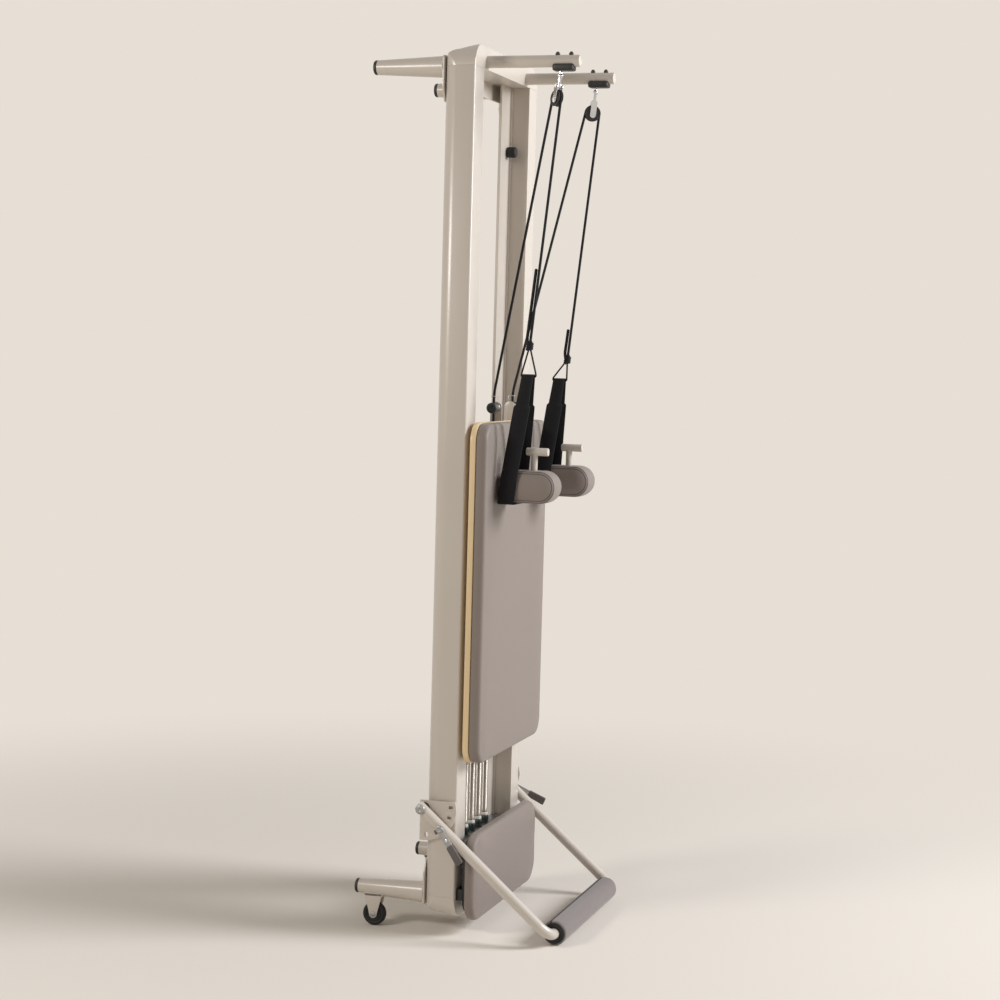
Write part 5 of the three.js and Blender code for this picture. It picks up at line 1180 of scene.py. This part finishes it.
def softened(node, finish, edge=0.0008, degrees=35):
    form = bmesh.new()
    form.from_mesh(cad_nodes[node].data)
    bmesh.ops.remove_doubles(form, verts=form.verts, dist=0.00002)
    bmesh.ops.dissolve_limit(form, angle_limit=math.radians(1.0), verts=form.verts, edges=form.edges)
    mesh = bpy.data.meshes.new(node + "_softened")
    form.to_mesh(mesh)
    form.free()
    piece = link(node + "_softened", mesh, finish)
    bevel = piece.modifiers.new("edge", "BEVEL")
    bevel.width = edge
    bevel.segments = 2
    bevel.limit_method = "ANGLE"
    bevel.angle_limit = math.radians(degrees)
    bevel.use_clamp_overlap = True
    apply_modifiers(piece)
    smooth(piece.data, degrees)
    fit(piece)


def apply_modifiers(piece):
    mesh, old = evaluated(piece), piece.data
    piece.modifiers.clear()
    piece.data = mesh
    bpy.data.meshes.remove(old)


board_outline = rounded_box(2 * CARRIAGE_HALF, CARRIAGE_LENGTH, 0.052)
board_place = basis(*FRONT_VIEW, at(0, BOARD_Y, CARRIAGE_MIDDLE))
cut_plate("carriage_board", board_outline, BOARD_THICKNESS, board_place, PLYWOOD, edge=0.0012)
softened("carriage_frame", STEEL)
softened("spring_bar", STEEL)
softened("platform_board", BLACK, 0.0015)

for side, sign in SIDES:
    for end, height in (("foot", CARRIAGE_LOW + ROLLER_INSET), ("head", CARRIAGE_HIGH - ROLLER_INSET)):
        centre = at(sign * ROLLER_X, ROLLER_Y, height)
        turned(f"roller_{end}_{side}_tread", centre, (1, 0, 0), TREAD, RUBBER, 64, 0.0004)
    for end, height in (("foot", FOOT_STOP), ("head", HEAD_STOP)):
        foot = at(sign * STOP_X, STOP_Y, height)
        turned(f"stop_{end}_{side}_buffer", foot, BACKWARD, BUFFER, RUBBER, 48, 0.0015)
print("board", round(CARRIAGE_LENGTH * 1000), "mm long on four rollers")

# %% [markdown]
# ## Posts of the shoulder rests
#
# A bent tube comes forward through the board and turns up. A peg lies across its top, and the
# strap's loop is hooked there between lessons. The tube is bent, and the peg is turned with a
# slightly dished bright plug in each end.

# %% Bend the posts
REST_Z, POST_Y, PEG_Z, PEG_FRONT, PEG_BACK = 1.197, -0.1603, 1.293, -0.200, -0.138
PEG_HALF, POST_RADIUS, POST_BEND, FLANGE_Y = (PEG_BACK - PEG_FRONT) / 2, 0.009, 0.020, -0.0127
BARREL = both_sides([(0.0, -PEG_HALF + 0.0016), (0.0092, -PEG_HALF + 0.0014), (0.0100, -PEG_HALF),
                     (0.0110, -PEG_HALF + 0.0012)])
DISC = [(0.0, 0.0), (0.0091, 0.0), (0.0089, 0.0012), (0.0040, 0.0016), (0.0, 0.0014)]
FLANGE = [(0.0, 0.0), (0.023, 0.0), (0.023, 0.0030), (0.0215, 0.0040), (0.0, 0.0040)]


def post(side, sign):
    node, x = f"rest_post_{side}", sign * REST_X
    line = eased([at(x, -0.010, REST_Z), at(x, POST_Y, REST_Z), at(x, POST_Y, PEG_Z - 0.004)], POST_BEND, 12)
    fit(bent(f"{node}_tube", line, POST_RADIUS, CREAM, 32, 0.1))
    middle = at(x, (PEG_BACK + PEG_FRONT) / 2, PEG_Z)
    turned(f"{node}_peg", middle, BACKWARD, BARREL, CREAM, 48, 0.0006)
    for end, outward in (("front", FORWARD), ("back", BACKWARD)):
        spot = middle + outward * (PEG_HALF - 0.0018)
        turned(f"{node}_plug_{end}", spot, outward, DISC, PLUG, 40, 0.0004)
    turned(f"{node}_flange", at(x, FLANGE_Y, REST_Z), BACKWARD, FLANGE, STEEL, 48, 0.0006)


for side, sign in SIDES:
    post(side, sign)
print("pegs are", round((PEG_BACK - PEG_FRONT) * 1000), "mm long")

# %% [markdown]
# ## Rope cleats
#
# At the carriage's head edge each rope passes a wire guide and is wedged round a steel drum by a
# dark knob. A bent bracket carries both. The bracket is two cut plates, the drum and knob are turned,
# and the guide is bent wire with its eye round the rope.

# %% Build the cleats
CLEAT_Z, GUIDE_Z, EYE_RADIUS = 1.407, 1.4395, 0.0072
FOOT_LOW, FOOT_THICKNESS, FOOT_FRONT, FOOT_BACK = 1.3516, 0.003, -0.0127, 0.005
EAR_REACH, EAR_THICKNESS, KNOB_REACH = 0.0235, 0.003, 0.0110
DRUM = [(0.0, 0.0), (0.0120, 0.0), (0.0120, 0.0030), (0.0112, 0.0045), (0.0104, 0.0120), (0.0104, 0.0230),
        (0.0112, 0.0305), (0.0120, 0.0320), (0.0120, 0.0345), (0.0, 0.0345)]
KNOB = [(0.0, 0.0), (0.0120, 0.0), (0.0150, 0.0022), (0.0150, 0.0100), (0.0138, 0.0128), (0.0100, 0.0140),
        (0.0050, 0.0138), (0.0042, 0.0128), (0.0, 0.0126)]


def cleat(side, sign):
    node, outward = f"rope_cleat_{side}", Vector((sign, 0, 0))
    ear = [(FOOT_FRONT, FOOT_LOW), (FOOT_BACK, FOOT_LOW), (FOOT_BACK, CLEAT_Z),
           *arc((CLEAT_Y, CLEAT_Z), 0.017, 0, 180, 24)[1:], (-0.029, 1.3706), (FOOT_FRONT, 1.3706)]
    inner = sign * (CLEAT_X - EAR_REACH)
    cut_plate(f"{node}_ear", ear, EAR_THICKNESS, basis(*SIDE_VIEW, at(inner, 0, 0)), CREAM)
    across = sorted((inner - sign * EAR_THICKNESS / 2, sign * (CLEAT_X + KNOB_REACH)))
    bar_between(f"{node}_foot", at(across[0], FOOT_FRONT, FOOT_LOW),
                at(across[1], FOOT_BACK, FOOT_LOW + FOOT_THICKNESS), CREAM)
    turned(f"{node}_drum", at(inner, CLEAT_Y, CLEAT_Z), outward, DRUM, STEEL, 48, 0.0010)
    face = at(sign * (CLEAT_X + KNOB_REACH), CLEAT_Y, CLEAT_Z)
    turned(f"{node}_knob", face, outward, KNOB, GREEN, 48, 0.0010)
    centre = at(sign * CLEAT_X, CLEAT_Y, GUIDE_Z)
    eye = [about(centre, outward, BACKWARD, EYE_RADIUS, math.radians(a)) for a in range(150, -171, -20)]
    stem = [at(inner, CLEAT_Y + 0.006, CLEAT_Z + 0.006), at(inner, CLEAT_Y + 0.005, GUIDE_Z)]
    fit(bent(f"{node}_guide", eased([*stem, *eye], 0.004, 4), 0.0014, STEEL, 12, 0.8))


for side, sign in SIDES:
    cleat(side, sign)
print("cleats stand", round((CLEAT_Z - CARRIAGE_LOW - CARRIAGE_LENGTH) * 1000), "mm above the carriage")

# %% [markdown]
# ## Springs
#
# Four springs join the spring bar and the carriage. At rest their turns nearly touch, so each reads
# as a grey column: a helix of sixty-eight turns swept by a wire. Each hangs in the bar by a hook
# under a star-shaped knob, with a milky sleeve above it. A spring belongs to the frame at its foot
# and to the carriage at its head, but here its coil is attached to no body, so it does not stretch
# as the carriage leaves.

# %% Wind the springs
SPRING_X, SPRING_Y, BAR_TOP = (-0.093, -0.031, 0.031, 0.093), 0.043, 0.197
COIL_LOW, COIL_HIGH, COIL_RADIUS, WIRE, COIL_TURNS, COIL_STEPS = 0.2255, 0.4325, 0.0090, 0.0014, 68, 18
STAR_LIFT, STAR_HEIGHT, SLEEVE_LIFT, SLEEVE_HEIGHT = 0.0103, 0.020, 0.0253, 0.0088
HOOK = [(0.0, 0.1827), (0.0028, 0.1827), (0.0055, 0.1867), (0.0055, 0.1907), (0.0035, 0.1907),
        (0.0035, 0.2000), (0.0, 0.2000)]
STAR = lobed(lambda turn: 0.0150 - 0.0030 * (0.5 - 0.5 * math.cos(6 * turn)) ** 0.8)
SCALLOP = lobed(lambda turn: 0.0132 - 0.0012 * abs(math.sin(4 * turn)))


def spring(number, x):
    node = f"spring_{number}"
    low, high = (at(x, SPRING_Y, z) for z in (COIL_LOW, COIL_HIGH))
    wire = helix(low, high, Vector((1, 0, 0)), BACKWARD, COIL_RADIUS, COIL_TURNS, COIL_STEPS)
    coil = bent(f"{node}_coil", wire, WIRE, SPRING_STEEL, 6, 0.3)
    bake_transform(coil)
    stand_for_node(coil)
    lie = basis(*TOP_VIEW, at(x, SPRING_Y, BAR_TOP + STAR_LIFT))
    cut_plate(f"{node}_star", STAR, STAR_HEIGHT, lie, GREEN, edge=0.0022, degrees=60)
    turned(f"{node}_hook", at(x, SPRING_Y, 0), UPWARD, HOOK, STEEL, 32, 0.0010)
    lie = basis(*TOP_VIEW, at(x, SPRING_Y, BAR_TOP + SLEEVE_LIFT))
    cut_plate(f"{node}_sleeve", SCALLOP, SLEEVE_HEIGHT, lie, MILKY, edge=0.0016, degrees=60)


for number, x in enumerate(SPRING_X, 1):
    spring(number, x)
pitch = (COIL_HIGH - COIL_LOW) / COIL_TURNS
print("springs have", COIL_TURNS, "turns each,", round(pitch * 1000, 2), "mm apart")

# %% [markdown]
# ## Upholstery forms
#
# A pad is foam under a stretched cover. Its outline is a rectangle with round corners, its sides
# pull in a little, and its face rises in a low crown. The form is built from rings: each is the
# outline drawn in by some inset, at some height above the pad's back. Rings that stand close
# together make a seam, where the cover is drawn down between two panels.

# %% Rings of an upholstered block
QUARTERS = ((1, 1), (-1, 1), (-1, -1), (1, -1))


def ringed(name, width, height, radius, layers, place, finish, per_corner=14, degrees=60):
    """A soft block from (inset, height) layers, laid by a matrix. Its ends are closed flat."""
    rings = []
    for inset, rise in layers:
        least = min(radius * 0.22, width / 2 - inset, height / 2 - inset)
        inner_radius = max(radius - inset, least)
        u, v = width / 2 - inset - inner_radius, height / 2 - inset - inner_radius
        ring = []
        for corner, (su, sv) in enumerate(QUARTERS):
            for k in range(per_corner + 1):
                turn = (corner + k / per_corner) * math.pi / 2
                ring.append((su * u + inner_radius * math.cos(turn), sv * v + inner_radius * math.sin(turn)))
            (su, sv), turn = QUARTERS[(corner + 1) % 4], (corner + 1) * math.pi / 2
            start = ring[-1]
            stop = (su * u + inner_radius * math.cos(turn), sv * v + inner_radius * math.sin(turn))
            ring += [tuple(a + (b - a) * k / 10 for a, b in zip(start, stop)) for k in range(1, 10)]
        rings.append([place @ Vector((x, y, rise)) for x, y in ring])
    return skinned(name, rings, finish, capped=True, degrees=degrees)


def crowned(thickness, crown, crown_width, roll=0.010, seam=0.0007):
    """Layers of a flat pad: back, drawn-in side, seam, rolled edge and crown."""
    layers = [(0.006, 0.0), (0.0022, 0.0004), (0.0008, 0.0030), (0.0, thickness * 0.35),
              (0.0001, thickness * 0.60)]
    for k in range(9):
        turn = math.radians(90 * k / 8)
        layers.append((roll * (1 - math.cos(turn)), thickness - roll + roll * math.sin(turn)))
        if k == 2:
            layers.append((layers[-1][0] + seam, layers[-1][1] + 0.0006))
            layers.append((layers[-1][0] - seam * 0.3, layers[-1][1] + 0.0007))
    for share in (k / 14 for k in range(1, 15)):
        layers.append((roll + crown_width * share, thickness + crown * math.sin(share * math.pi / 2)))
    return layers


print("upholstery rings are ready")

# %% [markdown]
# ## Puffing a pad
#
# Foam pushes its cover out between the edges, and no formula gives that as well as cloth does. The
# pad is remeshed into small even faces, Blender's cloth blows it up with a light pressure and no
# gravity, and its back stays pinned to the board. Twenty frames are enough. A cap on how far a point
# may move keeps the pad clear of its neighbours. The result is applied, so no simulation stays.

# %% Let the cloth settle
def positions(mesh):
    flat = np.empty(len(mesh.vertices) * 3, np.float32)
    mesh.vertices.foreach_get("co", flat)
    return flat.reshape(-1, 3).astype(float)


def puffed(piece, most, pinned_from, voxel=0.006, pressure=4.0):
    """Blow a pad up with cloth, pin what lies behind a depth, and cap the movement."""
    remesh = piece.modifiers.new("even_faces", "REMESH")
    remesh.mode = "VOXEL"
    remesh.voxel_size = voxel
    apply_modifiers(piece)
    start = positions(piece.data)
    held = piece.vertex_groups.new(name="held")
    held.add([int(i) for i in np.flatnonzero(start[:, 1] > pinned_from)], 1.0, "REPLACE")
    cloth = piece.modifiers.new("cover", "CLOTH")
    cloth.settings.use_pressure = True
    cloth.settings.uniform_pressure_force = pressure
    cloth.settings.effector_weights.gravity = 0
    cloth.settings.vertex_group_mass = "held"
    cloth.settings.quality = 4
    cloth.point_cache.frame_start, cloth.point_cache.frame_end = 1, 20
    for number in range(1, 21):
        bpy.context.scene.frame_set(number)
    settled = piece.evaluated_get(bpy.context.evaluated_depsgraph_get())
    moved = positions(settled.data) - start
    far = np.linalg.norm(moved, axis=1, keepdims=True)
    moved *= most * np.tanh(far / most) / np.maximum(far, 1e-9)
    piece.modifiers.clear()
    piece.data.vertices.foreach_set("co", (start + moved).astype(np.float32).ravel())
    bpy.context.scene.frame_set(1)
    relax = piece.modifiers.new("relax", "SMOOTH")
    relax.factor, relax.iterations = 0.5, 4
    finer = piece.modifiers.new("finer", "SUBSURF")
    finer.levels = finer.render_levels = 1
    apply_modifiers(piece)
    smooth(piece.data, 180)
    print(piece.name, "moved", round(float(far.max()) * 1000, 1), "mm before the cap")


print("cloth will run")

# %% [markdown]
# ## The long pad and the platform pad
#
# Both are the same make: a wide low crown, a rolled edge and a plain side. Each starts a little
# smaller than it ends, because the cloth swells it.

# %% Upholster the pads
PINNED_DEPTH, SWELL_ROOM = 0.007, 0.0020
LONG_BACK, PLATFORM_BACK, PLATFORM_WIDE, PLATFORM_TALL, PLATFORM_Z = -0.0293, -0.0270, 0.6110, 0.2462, 0.117


def flat_pad(name, width, height, radius, layers, back, middle, swell):
    place = basis(*FRONT_VIEW, at(0, back, middle))
    pad = ringed(name, width, height, radius, layers, place, TAUPE)
    puffed(pad, swell, FRONT + back - PINNED_DEPTH)
    fit(pad)


long_width, long_height = 2 * CARRIAGE_HALF + SWELL_ROOM, CARRIAGE_LENGTH + SWELL_ROOM
flat_pad("carriage_cushion", long_width, long_height, 0.053, crowned(0.0330, 0.0020, 0.150), LONG_BACK,
         CARRIAGE_MIDDLE, 0.0020)
flat_pad("platform_cushion", PLATFORM_WIDE, PLATFORM_TALL, 0.062, crowned(0.0300, 0.0016, 0.080),
         PLATFORM_BACK, PLATFORM_Z, 0.0018)
print("pads upholstered")

# %% [markdown]
# ## Shoulder rests
#
# Each rest is a block with half-round ends, lying on its side: two crowned side panels are sewn to a
# band that runs round the edge, so two seams follow its outline. The seams are pairs of rings drawn
# in by a millimetre.
# A thin dark cord along each seam paints the shade in its groove.

# %% Upholster the shoulder rests
REST_HALF, REST_CROWN, REST_LONG, REST_WIDE, REST_ROUND = 0.050, 0.008, 0.1612, 0.0892, 0.0444
REST_DEPTH = PAD_FRONT - 0.084
SEAM_ROWS = ((0.0081, REST_HALF - 0.0079), (0.0024, REST_HALF - 0.0118))


def rest_layers():
    """From the middle of one side panel, over its seam, across the band and back in again."""
    panel = [(0.0400 - (0.0400 - 0.0105) * share, REST_HALF - REST_CROWN * 0.75 * share ** 2.2)
             for share in (k / 10 for k in range(11))]
    edge = [(0.0088, REST_HALF - 0.0066), (0.0080, REST_HALF - 0.0084), (0.0070, REST_HALF - 0.0082),
            (0.0052, REST_HALF - 0.0086), (0.0030, REST_HALF - 0.0108), (0.0012, REST_HALF - 0.0146),
            (0.0003, REST_HALF - 0.0200), (0.0, REST_HALF - 0.0280), (-0.0004, 0.0100)]
    half = panel + edge
    return [(inset, -rise) for inset, rise in half] + half[::-1]


for side, sign in SIDES:
    node = f"shoulder_rest_{side}"
    place = basis(*SIDE_VIEW, at(sign * REST_X, REST_DEPTH, REST_Z))
    rest = ringed(f"{node}_cushion", REST_LONG, REST_WIDE, REST_ROUND, rest_layers(), place, TAUPE, 16, 50)
    fit(rest)
    # Thin dark cords along both seams of each face: painted seam shade.
    for face, label in ((-1, "near"), (1, "far")):
        for row, (inset, rise) in enumerate(SEAM_ROWS):
            stitches = rounded_box(REST_LONG - 2 * inset, REST_WIDE - 2 * inset, REST_ROUND - inset, 16)
            line = [place @ Vector((u, v, face * rise)) for u, v in [*stitches, stitches[0]]]
            fit(bent(f"{node}_seam_{row}_{label}", line, 0.0008, SEAM_SHADE, 8, 0.2))
print("two shoulder rests,", round(REST_HALF * 2000), "mm wide")

# %% [markdown]
# ## The studio
#
# A pale floor, one big soft lamp from the right front and a weaker one from the left back, which
# draws the long highlight down the rail's round edge. The floor melts into the backdrop far from
# the machine, so no horizon line cuts the picture.

# %% Floor, backdrop and lamps
BACKDROP, FILL, FILL_STRENGTH = (231, 223, 213), (232, 228, 222), 0.28


def studio_floor():
    mesh = bpy.data.meshes.new("floor")
    form = bmesh.new()
    bmesh.ops.create_circle(form, cap_ends=True, radius=40.0, segments=96)
    form.to_mesh(mesh)
    form.free()
    paint = Finish("studio_floor", (236, 229, 219), 0.9)
    reach = paint.node("ShaderNodeVectorMath", {"operation": "LENGTH"}, {0: paint.place()}, out="Value")
    far = reach.above(2.2, 1.6) * paint.seen_straight()
    glow = paint.node("ShaderNodeEmission", sockets={"Color": rgb(BACKDROP), "Strength": 1.0})
    lit = Wire(paint, paint.shader.outputs[0])
    both = paint.node("ShaderNodeMixShader", sockets={0: far, 1: lit, 2: glow})
    paint.feed(paint.tree.nodes["Material Output"].inputs["Surface"], both)
    link("floor", mesh, paint.material)


def backdrop():
    world = bpy.data.worlds.new("studio")
    world.use_nodes = True
    bpy.context.scene.world = world
    world.node_tree.nodes.clear()
    sky = Nodes(world.node_tree)
    fill = sky.node("ShaderNodeBackground", sockets={"Color": rgb(FILL), "Strength": FILL_STRENGTH})
    wall = sky.node("ShaderNodeBackground", sockets={"Color": rgb(BACKDROP)})
    both = sky.node("ShaderNodeMixShader", sockets={0: sky.seen_straight(), 1: fill, 2: wall})
    output = sky.tree.nodes.new("ShaderNodeOutputWorld")
    sky.feed(output.inputs[0], both)


def lamp(name, place, aim, size, power, color):
    data = bpy.data.lights.new(name, "AREA")
    data.shape = "ELLIPSE"
    data.size, data.size_y = size
    data.energy = power
    data.color = rgb(color)[:3]
    made = bpy.data.objects.new(name, data)
    direction = Vector(aim) - Vector(place)
    made.location = place
    made.rotation_mode = "QUATERNION"
    made.rotation_quaternion = direction.to_track_quat("-Z", "Y")
    bpy.context.scene.collection.objects.link(made)


studio_floor()
backdrop()
lamp("key", (1.4, -6.4, 4.2), (0, 0, 1.2), (3.4, 3.4), 600, (248, 250, 255))
lamp("edge", (-3.6, 2.6, 2.9), (0, 0, 1.8), (1.5, 0.8), 78, (255, 250, 244))
bpy.context.scene.view_settings.view_transform = "Standard"
print("studio ready")
